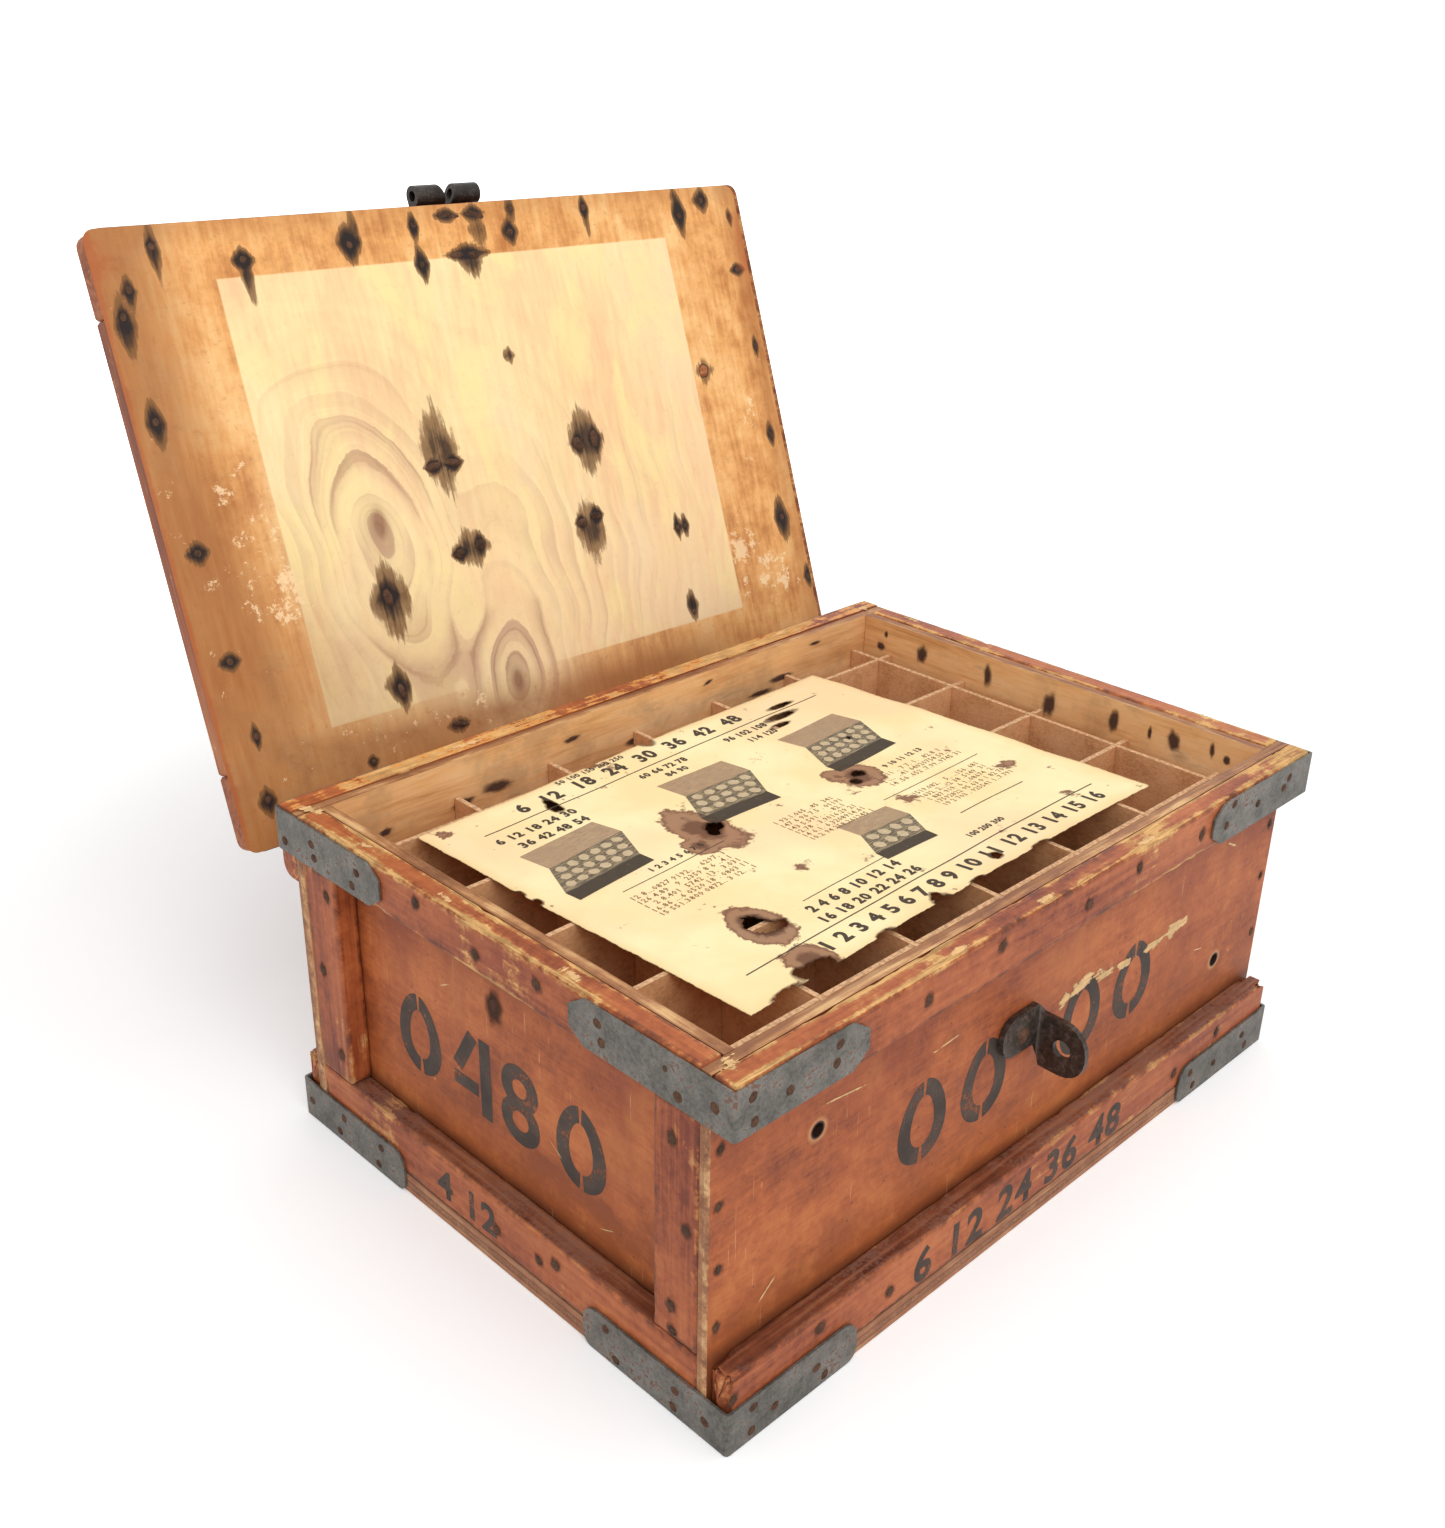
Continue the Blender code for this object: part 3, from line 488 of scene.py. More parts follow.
@dataclass(frozen=True)
class StainedPly:
    """Plywood wall: stained outside, bare inside, layered at its cut edges."""

    name: str
    axis: Axis
    outward: Point
    tones: Rows = ((0.19, 0.04, 0.013), (0.4, 0.102, 0.028), (0.54, 0.165, 0.048))
    wine: Colour = (0.215, 0.038, 0.018)
    low: float = 0.035
    high: float = 0.139
    layer: float = 0.0031
    drilled: Rows = ()

    def material(self) -> Material:
        """Build the material.

        The stain is mottled at three sizes and wine-dark in clouds, more so under
        the top rail, where that is painted shade from the rail's overhang. It is
        darker at the foot of the panel, where a warm orange tint is painted light
        bounced up from the ledge, and a dark band along the rails and a dark disc
        in each drilled hole are painted shade. The inner face is bare tan wood with
        soft dark bands. Cut edges show layers of the wall's thickness.

        Returns:
            The material.
        """
        bench = Bench(self.name)
        height = bench.parts(bench.where)[2]
        slow = bench.grain(self.axis, 24, 8, 5, twist=0.6)
        wave = bench.grain(self.axis, 130, 14, 5, twist=0.8)
        fibre = bench.grain(self.axis, 900, 60, 4)
        fine, patch = bench.noises((700, 3), (60, 6, 0.68))
        cloud = bench.grain(Axis.Z, 26, 9, 4, rough=0.6)
        foot = height.ramp(self.low + 0.05, self.low - 0.004)
        head = height.ramp(self.high - 0.045, self.high + 0.002)
        freckle, blotch = bench.noises((330, 5, 0.75), (24, 6, 0.62))
        tone = slow * 0.75 + wave * 0.36 + fibre * 0.34 + patch * 0.6 + blotch * 0.95
        tone = tone + freckle * 0.55 - foot * 0.16 - 1.275
        stain = bench.tones(tone, *zip((0.2, 0.5, 0.78), self.tones))
        # Wine-dark stain in clouds; the head term adds painted shade under the overhanging top
        # rail, and the foot term thins it.
        wine = (cloud * 0.7 + patch * 0.3 + head * 0.14 - foot * 0.1).ramp(0.5, 0.72)
        # Random golden blotches; the small foot term is part of the painted bounce light at the
        # foot.
        gold = (blotch * 0.5 + patch * 0.5 + foot * 0.05).ramp(0.53, 0.66)
        # Painted shade: a dark band, uneven with patch noise, under the overhanging top rail and
        # above the bottom rail.
        corner = height.ramp(self.high - 0.008, self.high) * 0.45 + height.ramp(
            self.low + 0.007, self.low
        ) * 0.8
        nick = (fine * 0.35 + patch * 0.65).ramp(0.655, 0.68)
        scratch = bench.drawn((900, 900, 26), 2, turn=(0.5, 0.9, 0.2))
        dirt = bench.cells((150, 150, 150))
        stain = bench.coats(
            stain,
            (wine * 0.6, self.wine),
            # Painted light bounced up from the ledge: a warm orange tint at the foot.
            (foot * 0.45, (0.47, 0.13, 0.03)),
            (gold * 0.36, (0.52, 0.185, 0.048)),
            # Painted shade along the panel's junctions with the rails.
            (corner * (0.35 + patch * 0.6), (0.085, 0.026, 0.014)),
            (nick * 0.6, (0.66, 0.34, 0.15)),
            (scratch.ramp(0.68, 0.73) * patch.ramp(0.46, 0.6) * 0.5, (0.66, 0.36, 0.18)),
            (dirt.ramp(0.13, 0.07) * fine.ramp(0.45, 0.6) * 0.75, (0.05, 0.02, 0.012)),
        )
        inner_tone = slow * 0.9 + wave * 0.8 + fibre * 0.4 - 0.55
        bare = bench.tones(
            inner_tone,
            (0.25, (0.58, 0.275, 0.1)), (0.5, (0.81, 0.455, 0.2)), (0.75, (0.9, 0.59, 0.31)),
        )
        soiled = (blotch * 0.5 + patch * 0.3 + wave * 0.2).ramp(0.48, 0.6)
        bare = bench.blend(soiled * 0.42, bare, (0.36, 0.205, 0.105))
        streaked = (wave * 0.6 + fibre * 0.4).ramp(0.58, 0.66)
        bare = bench.blend(streaked * 0.35, bare, (0.25, 0.125, 0.06))
        outside = bench.facing(self.outward)
        colour = bench.blend(outside.ramp(-0.2, 0.2), bare, stain)
        ways = bench.parts(bench.where)
        across = ways[1] if abs(self.outward[1]) > 0 else ways[0]
        core = (across * (math.tau / (2 * self.layer))).sine().ramp(0.1, 0.7)
        edge = bench.tones(
            wave * 0.75 + patch * 0.45 + fibre * 0.3 - 0.25,
            (0.36, (0.2, 0.074, 0.032)), (0.5, (0.42, 0.19, 0.078)), (0.64, (0.7, 0.43, 0.2)),
        )
        edge = bench.blend(core * 0.55, edge, (0.23, 0.09, 0.038))
        colour = bench.blend(outside.size().ramp(0.6, 0.3), colour, edge)
        for centre, level in self.drilled:
            aside, above = ways[0] - centre, height - level
            reach = (aside * aside + above * above) ** 0.5
            # Painted shade: a dark disc for the dark inside of the drilled hole; the pale rim next
            # to it is real wear.
            deep = reach.ramp(0.004, 0.0034)
            colour = bench.blend(deep, colour, (0.03, 0.014, 0.009))
            rim = reach.ramp(0.0062, 0.004) * (1 - deep) * (patch * 0.8 + fine * 0.6)
            colour = bench.blend(rim.smaller(1.0) * 0.8, colour, (0.62, 0.33, 0.13))
        bench.relief(fibre * 0.5 + wave * 0.5 + patch * 0.3, 0.0003, 0.5)
        return bench.finish(colour, 0.46 + patch * 0.18, specular=0.3)


@dataclass(frozen=True)
class OldIron:
    """Strap iron: dull grey with a mottled skin and patches of rust."""

    name: str
    tones: Rows = ((0.062, 0.056, 0.046), (0.136, 0.127, 0.11), (0.27, 0.262, 0.236))
    rust: Colour = (0.15, 0.055, 0.024)
    rusting: float = 0.3
    metal: float = 0.4
    rough: float = 0.5

    def material(self) -> Material:
        """Build the material.

        Cloudy noise at three sizes mottles the skin, rubbed streaks lighten
        it, and a threshold on two of the clouds lays on rust.

        Returns:
            The material.
        """
        bench = Bench(self.name)
        cloud, grit, fine = bench.noises((75, 7, 0.68), (520, 5, 0.65), (1900, 2))
        rub = bench.drawn((900, 900, 90), 3, turn=(0.7, 0.5, 0.0))
        tone = cloud * 1.25 + grit * 0.8 + fine * 0.2 - 0.62
        skin = bench.tones(tone, *zip((0.26, 0.5, 0.76), self.tones))
        skin = bench.blend(rub.ramp(0.62, 0.7) * cloud.ramp(0.48, 0.6) * 0.5, skin, self.tones[2])
        rust = (cloud * 0.4 + grit * 0.6 + self.rusting * 0.25).ramp(0.6, 0.68)
        colour = bench.blend(rust * 0.85, skin, self.rust)
        bench.relief(cloud * 0.9 + grit * 0.5 + fine * 0.2 + rust * 0.3, 0.0005, 0.5)
        return bench.finish(
            colour,
            self.rough + rust * 0.3 + grit * 0.14 - 0.07,
            self.metal - rust * self.metal * 0.9,
        )


@dataclass(frozen=True)
class Strawboard:
    """Grey-brown board of the dividers, with a furred pale top edge."""

    name: str
    tones: Rows = ((0.52, 0.245, 0.105), (0.71, 0.375, 0.18), (0.79, 0.45, 0.235))
    top: Colour = (0.78, 0.48, 0.27)
    fur: float = 0.6

    def material(self) -> Material:
        """Build the material: mottled board, paler where it faces up.

        Returns:
            The material.
        """
        bench = Bench(self.name)
        cloud = bench.noise(70, 5)
        fibre = bench.drawn((500, 500, 900), 4)
        face = bench.tones(cloud * 0.7 + fibre * 0.6 - 0.15, *zip((0.3, 0.52, 0.74), self.tones))
        up = bench.facing((0, 0, 1)).ramp(0.5, 0.9)
        shadow = tint(self.top, self.fur)
        edge = bench.blend(fibre.ramp(0.36, 0.62), shadow, self.top)
        bench.relief(fibre, 0.0004, 0.6)
        return bench.finish(bench.blend(up, face, edge), 0.88, specular=0.15)


@dataclass(frozen=True)
class BasePly:
    """Three-ply base: layered cut edges, worn and dusty on top."""

    name: str
    layer: float = 0.0097 / 3

    def material(self) -> Material:
        """Build the material.

        The edge shows three layers, the middle one darker end grain. Stain
        and wear lie over them.

        Returns:
            The material.
        """
        bench = Bench(self.name)
        height = bench.parts(bench.where)[2]
        streak = bench.drawn((30, 30, 700), 5)
        patch, fine = bench.noises((80, 6, 0.65), (800, 4))
        outer = bench.tones(
            streak * 0.5 + patch * 0.5,
            (0.3, (0.215, 0.075, 0.038)), (0.5, (0.385, 0.17, 0.088)), (0.7, (0.58, 0.33, 0.17)),
        )
        core = bench.tones(
            fine * 0.6 + patch * 0.4,
            (0.32, (0.15, 0.062, 0.034)), (0.55, (0.33, 0.15, 0.08)), (0.72, (0.52, 0.3, 0.16)),
        )
        centre = (height - self.layer * 1.5).size().ramp(self.layer * 0.56, self.layer * 0.46)
        seam = ((height - self.layer * 1.5).size() - self.layer * 0.5).size().ramp(0.0004, 0.0001)
        up = bench.facing((0, 0, 1)).ramp(0.5, 0.9)
        down = bench.facing((0, 0, -1)).ramp(0.5, 0.9)
        blotch = streak * 0.4 + patch * 0.6
        under = bench.tones(blotch, (0.3, (0.3, 0.17, 0.09)), (0.7, (0.52, 0.33, 0.19)))
        colour = bench.coats(
            outer,
            (centre * 0.85, core),
            (seam * 0.6, (0.09, 0.04, 0.024)),
            (up * 0.85, (0.2, 0.105, 0.06)),
            (down, under),
        )
        bench.relief(fine * 0.6 + patch * 0.5 - seam * 0.6, 0.0004, 0.6)
        return bench.finish(colour, 0.72, specular=0.3)


@dataclass(frozen=True)
class LidVeneer:
    """Unpainted inner face of the lid.

    Tan orange with a paler rectangle where a sheet was once pasted, growth
    lines that follow the piece's "grain" field, dark iron stains from its
    "rust" field and flaked places from its "flake" field.
    """

    name: str
    tan: Rows = ((0.51, 0.19, 0.05), (0.8, 0.385, 0.125), (0.95, 0.57, 0.24))
    cream: Rows = ((0.94, 0.61, 0.335), (0.975, 0.745, 0.395), (0.992, 0.85, 0.49))
    ghost_low: Pair = (-0.1335, 0.045)
    ghost_high: Pair = (0.1315, 0.25)

    def material(self) -> Material:
        """Build the material on the veneer's own UV map, in metres.

        Returns:
            The material.
        """
        bench = Bench(self.name, "UV")
        across, along, _ = bench.parts(bench.where)
        slow = bench.drawn((16, 8, 1), 4, twist=0.4)
        patch, chips = bench.noises((55, 7, 0.68), (150, 7, 0.75))
        streak = bench.drawn((300, 34, 1), 5)
        fine = bench.noise(900, 4)
        grain = bench.attribute("grain")
        swirl = bench.attribute("swirl")
        rings = grain * 9.0 + (patch - 0.5) * 0.3
        bands = bench.noise(1.0, 3, where=bench.joined(rings, along * 5.0))
        lines = bench.noise(1.0, 4, where=bench.joined(rings * 4.5, along * 9.0))
        growth = bench.maths("FRACT", rings * 1.25 + bands * 0.9)
        late = growth.ramp(0.1, 0.92) * growth.ramp(1.0, 0.95)
        broken = bench.noise(1.0, where=bench.joined(rings * 0.45, along * 14.0))
        late = late * broken.ramp(0.34, 0.56)

        tan = bench.tones(
            slow * 0.95 + streak * 0.6 + patch * 1.0 - 0.775,
            *zip((0.24, 0.5, 0.76), self.tan),
        )
        cream = bench.tones(
            slow * 1.1 + streak * 0.45 + bands * 0.55 - 0.55,
            *zip((0.28, 0.52, 0.76), self.cream),
        )
        (left, near), (right, far), soft = self.ghost_low, self.ghost_high, 0.0005
        inside = across.ramp(left - soft, left + soft) * across.ramp(right + soft, right - soft)
        inside = inside * along.ramp(near - soft, near + soft) * along.ramp(far + soft, far - soft)
        sapwood = (swirl * 1.5).smaller(1.0) * across.ramp(-0.15, -0.128) * 0.8
        straw = bench.drawn((26, 11, 1), 5, twist=0.7)
        sunny = straw.ramp(0.49, 0.6) * (inside + swirl * 0.5).smaller(1.0)
        rosy = (slow * 0.6 + patch * 0.4 + across * 0.6 - along * 0.5 + 0.04).ramp(0.44, 0.6)
        mottle = bench.noise(240, 5, 0.72)
        shade = bench.attribute("shade")
        lace = bench.noise(85, 8, 0.8)
        flake = bench.attribute("flake") * 0.5 + (lace - 0.5) * 2.6
        flake = flake.ramp(0.4, 0.5)
        knot = bench.attribute("knot")
        rust = bench.attribute("rust")
        comb = bench.drawn((650, 16, 1), 3)
        spread = bench.drawn((170, 60, 1), 5, rough=0.65)
        soaked = rust + (comb - 0.5) * 0.42 + (spread - 0.5) * 0.6
        halo = soaked.ramp(0.24, 0.4)
        tide = soaked.ramp(0.24, 0.32) * soaked.ramp(0.48, 0.34)
        middle = soaked.ramp(0.36, 0.66)
        heart = (rust + (comb - 0.5) * 0.4 + (spread - 0.5) * 0.6).ramp(0.64, 0.82)
        red = bench.attribute("red")
        colour = bench.coats(
            tan,
            ((inside * 0.88).larger(sapwood), cream),
            (sunny * 0.7, (0.985, 0.78, 0.36)),
            (rosy * inside * 0.55, (0.905, 0.62, 0.39)),
            (swirl * late * 0.8, (0.53, 0.315, 0.215)),
            (
                (swirl * 0.95 + 0.06) * lines.ramp(0.52, 0.64) * (late * 0.7 + 0.3) * 0.62,
                (0.38, 0.19, 0.105),
            ),
            ((1 - late) * swirl * 0.34, (0.965, 0.745, 0.45)),
            (mottle.ramp(0.54, 0.68) * (1 - inside * 0.75) * 0.4, (0.48, 0.2, 0.062)),
            (shade * (0.3 + patch * 0.9), (0.33, 0.12, 0.036)),
            (flake * 0.7 * (1 - inside * 0.5), (0.985, 0.72, 0.425)),
            (knot * (0.5 + lines * 0.6), (0.25, 0.105, 0.055)),
            (halo * 0.82, (0.225, 0.098, 0.028)),
            (tide * 0.25, (0.08, 0.034, 0.014)),
            (middle * 0.9, (0.042, 0.019, 0.01)),
            (heart * 0.95, (0.014, 0.008, 0.007)),
            ((red * 0.75 + (patch - 0.5) * 1.4).ramp(0.25, 0.75) * 0.66, (0.42, 0.095, 0.026)),
        )
        bench.relief(streak * 0.4 + fine * 0.25 + chips * 0.3 - heart * 0.5, 0.0003, 0.4)
        return bench.finish(colour, 0.52 + patch * 0.14, specular=0.3)


@dataclass(frozen=True)
class NailIron:
    """Rusty heads and points of old iron nails."""

    name: str
    dark: Colour = (0.03, 0.018, 0.013)
    light: Colour = (0.135, 0.066, 0.038)

    def material(self) -> Material:
        """Build the material: dark mottled iron with brown rust.

        Returns:
            The material.
        """
        bench = Bench(self.name)
        grit, cloud = bench.noises((900, 4), (130, 3))
        colour = bench.tones(grit * 0.5 + cloud * 0.5, (0.35, self.dark), (0.62, self.light))
        bench.relief(grit, 0.0002, 0.5)
        return bench.finish(colour, 0.66 + grit * 0.2, specular=0.14)


@dataclass(frozen=True)
class RustHalo:
    """Dark iron stain that soaks into the wood round a nail."""

    name: str
    colour: Colour = (0.06, 0.03, 0.02)
    strength: float = 0.8
    stretch: Point = (500.0, 500.0, 60.0)

    def material(self) -> Material:
        """Build the material.

        Its alpha falls from the patch's middle to its rim by the attribute
        "mask", broken up by streaky noise.

        Returns:
            The material.
        """
        bench = Bench(self.name)
        streak = bench.drawn(self.stretch, 3)
        grit = bench.noise(420, 4)
        mask = bench.attribute("mask")
        alpha = (mask + streak * 0.5 + grit * 0.3 - 0.4).ramp(0.12, 0.75) * self.strength
        colour = bench.blend(grit, self.colour, tint(self.colour, 1.8))
        return bench.finish(colour, 0.75, alpha=alpha * mask.ramp(0.0, 0.12), specular=0.2)


@dataclass(frozen=True)
class StencilInk:
    """Thin grey-black stencil paint, worn through to the stain."""

    name: str
    colour: Colour = (0.038, 0.028, 0.022)
    cover: float = 0.9

    def material(self) -> Material:
        """Build the material: alpha broken up by grain and rubbing.

        Returns:
            The material.
        """
        bench = Bench(self.name)
        grit, cloud = bench.noises((420, 6, 0.7), (45, 4))
        alpha = (grit * 0.55 + cloud * 0.45).ramp(0.62, 0.52) * 0.55 + 0.4
        alpha = alpha * (grit * 0.7 + cloud * 0.3).ramp(0.68, 0.61) * self.cover
        colour = bench.blend(cloud.ramp(0.35, 0.65), self.colour, (0.085, 0.06, 0.046))
        return bench.finish(colour, 0.55, alpha=alpha, specular=0.3)


@dataclass(frozen=True)
class ChippedPaint:
    """Bare pale wood where the stain has been knocked or rubbed away."""

    name: str
    colour: Colour = (0.74, 0.48, 0.235)
    axis: Axis = Axis.X
    reach: float = 0.0
    ragged: float = 1.0

    def material(self) -> Material:
        """Build the material: torn-edged patches from mask and noise.

        Returns:
            The material.
        """
        bench = Bench(self.name)
        fibre = bench.grain(self.axis, 700, 60, 4)
        patch = bench.noise(150, 6, 0.7)
        mask = bench.attribute("mask")
        torn = (patch * 0.8 + fibre * 0.4 - 0.6) * self.ragged
        alpha = (mask * 0.9 + torn + self.reach - 0.4).ramp(0.14, 0.26)
        colour = bench.tones(
            fibre * 0.6 + patch * 0.4,
            (0.3, tint(self.colour, 0.52)), (0.6, self.colour),
        )
        return bench.finish(colour, 0.7, alpha=alpha * mask.ramp(0.0, 0.1), specular=0.2)


@dataclass(frozen=True)
class PlainStain:
    """Stained wood for boards that carry no wear numbers of their own."""

    name: str
    axis: Axis
    tones: Rows = ((0.14, 0.03, 0.011), (0.31, 0.082, 0.026), (0.47, 0.175, 0.065))
    worn: Colour = (0.72, 0.42, 0.18)
    turn: float = 0.0

    def material(self) -> Material:
        """Build the material: streaked stain with rubbed lighter places.

        The pattern is first turned about the crate's length by the angle turn.

        Returns:
            The material.
        """
        bench = Bench(self.name)
        turned = bench.place(turn=(self.turn, 0, 0))
        slow = bench.grain(self.axis, 28, 8, 4, source=turned)
        streak = bench.grain(self.axis, 420, 18, 5, source=turned)
        fibre = bench.grain(self.axis, 1400, 70, 3, source=turned)
        patch = bench.noise(90, 6, 0.68)
        stain = bench.tones(
            slow * 1.2 + streak * 0.8 + fibre * 0.3 + patch * 0.3 - 0.8,
            *zip((0.24, 0.5, 0.76), self.tones),
        )
        bare = (patch * 0.6 + streak * 0.4).ramp(0.575, 0.65)
        colour = bench.blend(bare * 0.6, stain, self.worn)
        bench.relief(streak * 0.6 + fibre * 0.4, 0.0004, 0.5)
        return bench.finish(colour, 0.5 + patch * 0.14, specular=0.28)


@dataclass(frozen=True)
class LidEdge:
    """Cut edges and outer face of the lid's plywood."""

    name: str
    outward: Point
    tones: Rows = ((0.17, 0.034, 0.012), (0.36, 0.095, 0.029), (0.5, 0.165, 0.055))

    def material(self) -> Material:
        """Build the material: mottled stain outside, bared ply at the edges.

        Returns:
            The material.
        """
        bench = Bench(self.name)
        patch = bench.noise(120, 6, 0.68)
        streak = bench.drawn((18, 420, 420), 5)
        blotch = bench.noise(22, 6, 0.62)
        wave = bench.drawn((14, 130, 130), 5, twist=0.8)
        stain = bench.tones(
            blotch * 1.0 + wave * 0.5 + patch * 0.6 + streak * 0.3 - 0.7,
            *zip((0.2, 0.5, 0.78), self.tones),
        )
        rubbed = (patch * 0.5 + blotch * 0.5).ramp(0.6, 0.64)
        stain = bench.blend(rubbed * 0.7, stain, (0.64, 0.33, 0.13))
        colour = bench.tones(
            patch * 1.1 + streak * 0.7 - 0.4,
            (0.34, (0.15, 0.04, 0.013)), (0.5, (0.29, 0.095, 0.03)), (0.7, (0.58, 0.3, 0.11)),
        )
        colour = bench.blend(bench.facing(self.outward).ramp(0.5, 0.8), colour, stain)
        bench.relief(streak, 0.0003, 0.5)
        return bench.finish(colour, 0.6, specular=0.25)


@dataclass(frozen=True)
class Paper:
    """Old cream paper, browned by rust, or the print that lies on it."""

    name: str
    ink: bool
    colour: Colour = (0.075, 0.062, 0.048)
    cover: float = 0.86
    hatch: float = 0.0
    cream: Colour = (0.965, 0.745, 0.4)
    pale: Colour = (0.985, 0.84, 0.5)

    def material(self) -> Material:
        """Build the material.

        The fields "hole" and "rim" against noise cut the sheet's ragged
        edges and holes out of its alpha; "stain" lays on browned rust.

        Returns:
            The material.
        """
        bench = Bench(self.name, "UV")
        patch, grit, fine = bench.noises((22, 4), (260, 5, 0.65), (1500, 2))
        hole = bench.attribute("hole")
        rim = bench.attribute("rim")
        stain = bench.attribute("stain")
        ragged, torn = bench.noises((70, 6, 0.65), (330, 4, 0.6))
        keep = (rim + ragged * 2.6 + torn * 1.0 - 2.0).ramp(0.0, 0.12) * (
            hole + (grit - 0.5) * 1.6
        ).ramp(0.06, 0.0)
        if self.ink:
            wear = (fine * 0.4 + grit * 0.6).ramp(0.74, 0.6)
            colour = bench.blend(grit, self.colour, tint(self.colour, 1.5))
            lines = bench.drawn((140, 1500, 1), 2)
            shading = 1 - lines.ramp(0.42, 0.58) * self.hatch
            alpha = keep * wear * shading * self.cover * (1 - stain * 0.35)
            return bench.finish(colour, 0.8, alpha=alpha, specular=0.2)
        rosy = bench.noise(9, 3).ramp(0.46, 0.62)
        foxed = (grit * 0.5 + ragged * 0.5).ramp(0.6, 0.72)
        base = bench.coats(
            self.cream,
            (patch.ramp(0.35, 0.65), self.pale),
            (rosy * 0.5, (0.94, 0.66, 0.4)),
            (rim.ramp(7.0, 0.0) * 0.4, (0.82, 0.58, 0.27)),
            (foxed * 0.25, (0.7, 0.44, 0.22)),
        )
        soak = stain + (grit - 0.5) * 0.55 + (ragged - 0.5) * 1.1
        blot = soak.ramp(0.16, 0.3)
        tide = blot * soak.ramp(0.44, 0.28)
        core = soak.ramp(0.62, 0.88)
        burnt = (hole + grit * 0.5).ramp(-0.15, 0.25)
        colour = bench.coats(
            base,
            (blot * 0.84, (0.27, 0.105, 0.062)),
            (tide * 0.6, (0.13, 0.05, 0.032)),
            (core * 0.7, (0.1, 0.036, 0.024)),
            (burnt * 0.8, (0.08, 0.034, 0.02)),
        )
        bench.relief(fine * 0.3 + grit * 0.5 + ragged * 0.6, 0.0004, 0.4)
        return bench.finish(colour, 0.78, alpha=keep, specular=0.15)


# ---- mesh making


def grid_faces(rows: int, columns: int, wrap: bool = False) -> Array:
    """Corner numbers of the quads of a grid.

    Args:
        rows: points down the grid.
        columns: points across it.
        wrap: whether the last column joins the first.

    Returns:
        One row of four corner numbers per quad.
    """
    down, over = np.meshgrid(
        np.arange(rows - 1), np.arange(columns if wrap else columns - 1), indexing="ij"
    )
    right = (over + 1) % columns
    corners = [
        down * columns + over,
        down * columns + right,
        (down + 1) * columns + right,
        (down + 1) * columns + over,
    ]
    return np.stack(corners, axis=-1).reshape(-1, 4)


def smooth(value: Array, low: float, high: float) -> Array:
    """Smooth step 3t^2 - 2t^3 of t, the place of value between low and high."""
    t = np.clip((value - low) / (high - low), 0, 1)
    return t * t * (3 - 2 * t)


def ripple(place: Array, scale: float, seed: float) -> Array:
    """Sum of nine slanted sine waves, which wanders like noise in -1 to 1.

    Args:
        place: points, one row each.
        scale: waves per metre of the slowest.
        seed: changes the directions.

    Returns:
        One number per point.
    """
    total = np.zeros(place.shape[:-1])
    for index in range(9):
        angle = seed * 1.7 + index * 2.399
        lean = math.cos(seed + index * 1.3)
        way = np.array([math.cos(angle), math.sin(angle), lean]) * scale * (1 + 0.37 * index)
        total += np.sin(place @ way * math.tau + seed * 5 + index * 1.9) / (1 + 0.35 * index)
    return total / 3.2


def show(item: bpy.types.Object) -> None:
    """Put an object into the scene."""
    bpy.context.scene.collection.objects.link(item)


@dataclass
class Surface:
    """Points, faces and the numbers carried at the points."""

    points: Array
    faces: list[Array]
    fields: dict[str, Array] = field(default_factory=dict)
    flat: Array | None = None

    def make(
        self, name: str, material: Material, body: Body = Body.CRATE, shade: bool = True
    ) -> bpy.types.Object:
        """Put the surface into a mesh object that rides on a body.

        Args:
            name: the piece's name.
            material: its finish.
            body: the body that carries it.
            shade: smooth shading.

        Returns:
            The object.
        """
        mesh = bpy.data.meshes.new(name)
        mesh.vertices.add(len(self.points))
        mesh.vertices.foreach_set("co", self.points.astype(np.float32).ravel())
        counts = np.concatenate([np.full(len(block), block.shape[1]) for block in self.faces])
        loops = np.concatenate([block.ravel() for block in self.faces])
        mesh.loops.add(len(loops))
        mesh.loops.foreach_set("vertex_index", loops.astype(np.int32))
        mesh.polygons.add(len(counts))
        starts = np.concatenate([[0], np.cumsum(counts)[:-1]])
        mesh.polygons.foreach_set("loop_start", starts.astype(np.int32))
        mesh.polygons.foreach_set("loop_total", counts.astype(np.int32))
        mesh.polygons.foreach_set("use_smooth", np.full(len(counts), shade))
        mesh.update(calc_edges=True)
        for key, numbers in self.fields.items():
            layer = mesh.attributes.new(key, "FLOAT", "POINT")
            layer.data.foreach_set("value", numbers.astype(np.float32).ravel())
        if self.flat is not None:
            layer = mesh.uv_layers.new(name="UVMap")
            layer.data.foreach_set("uv", self.flat[loops].astype(np.float32).ravel())
        mesh.validate()
        mesh.materials.append(material)
        piece = bpy.data.objects.new(name, mesh)
        show(piece)
        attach(piece, body.value)
        LOG.info("%s: %d faces on %s", name, len(counts), body.value)
        return piece


def join(surfaces: list[Surface]) -> Surface:
    """One surface of several.

    Args:
        surfaces: with the same fields.

    Returns:
        All their points, faces and fields.
    """
    start = 0
    faces: list[Array] = []
    for surface in surfaces:
        faces += [block + start for block in surface.faces]
        start += len(surface.points)
    fields = {
        key: np.concatenate([surface.fields[key] for surface in surfaces])
        for key in surfaces[0].fields
    }
    points = np.concatenate([surface.points for surface in surfaces])
    return Surface(points, faces, fields, np.concatenate([surface.flat for surface in surfaces]))


class Face(Protocol):
    """Place on the crate that small things are laid on."""

    def at(self, across: Array, high: Array, rise: Array) -> Array:
        """World points of places on the face and heights over it."""


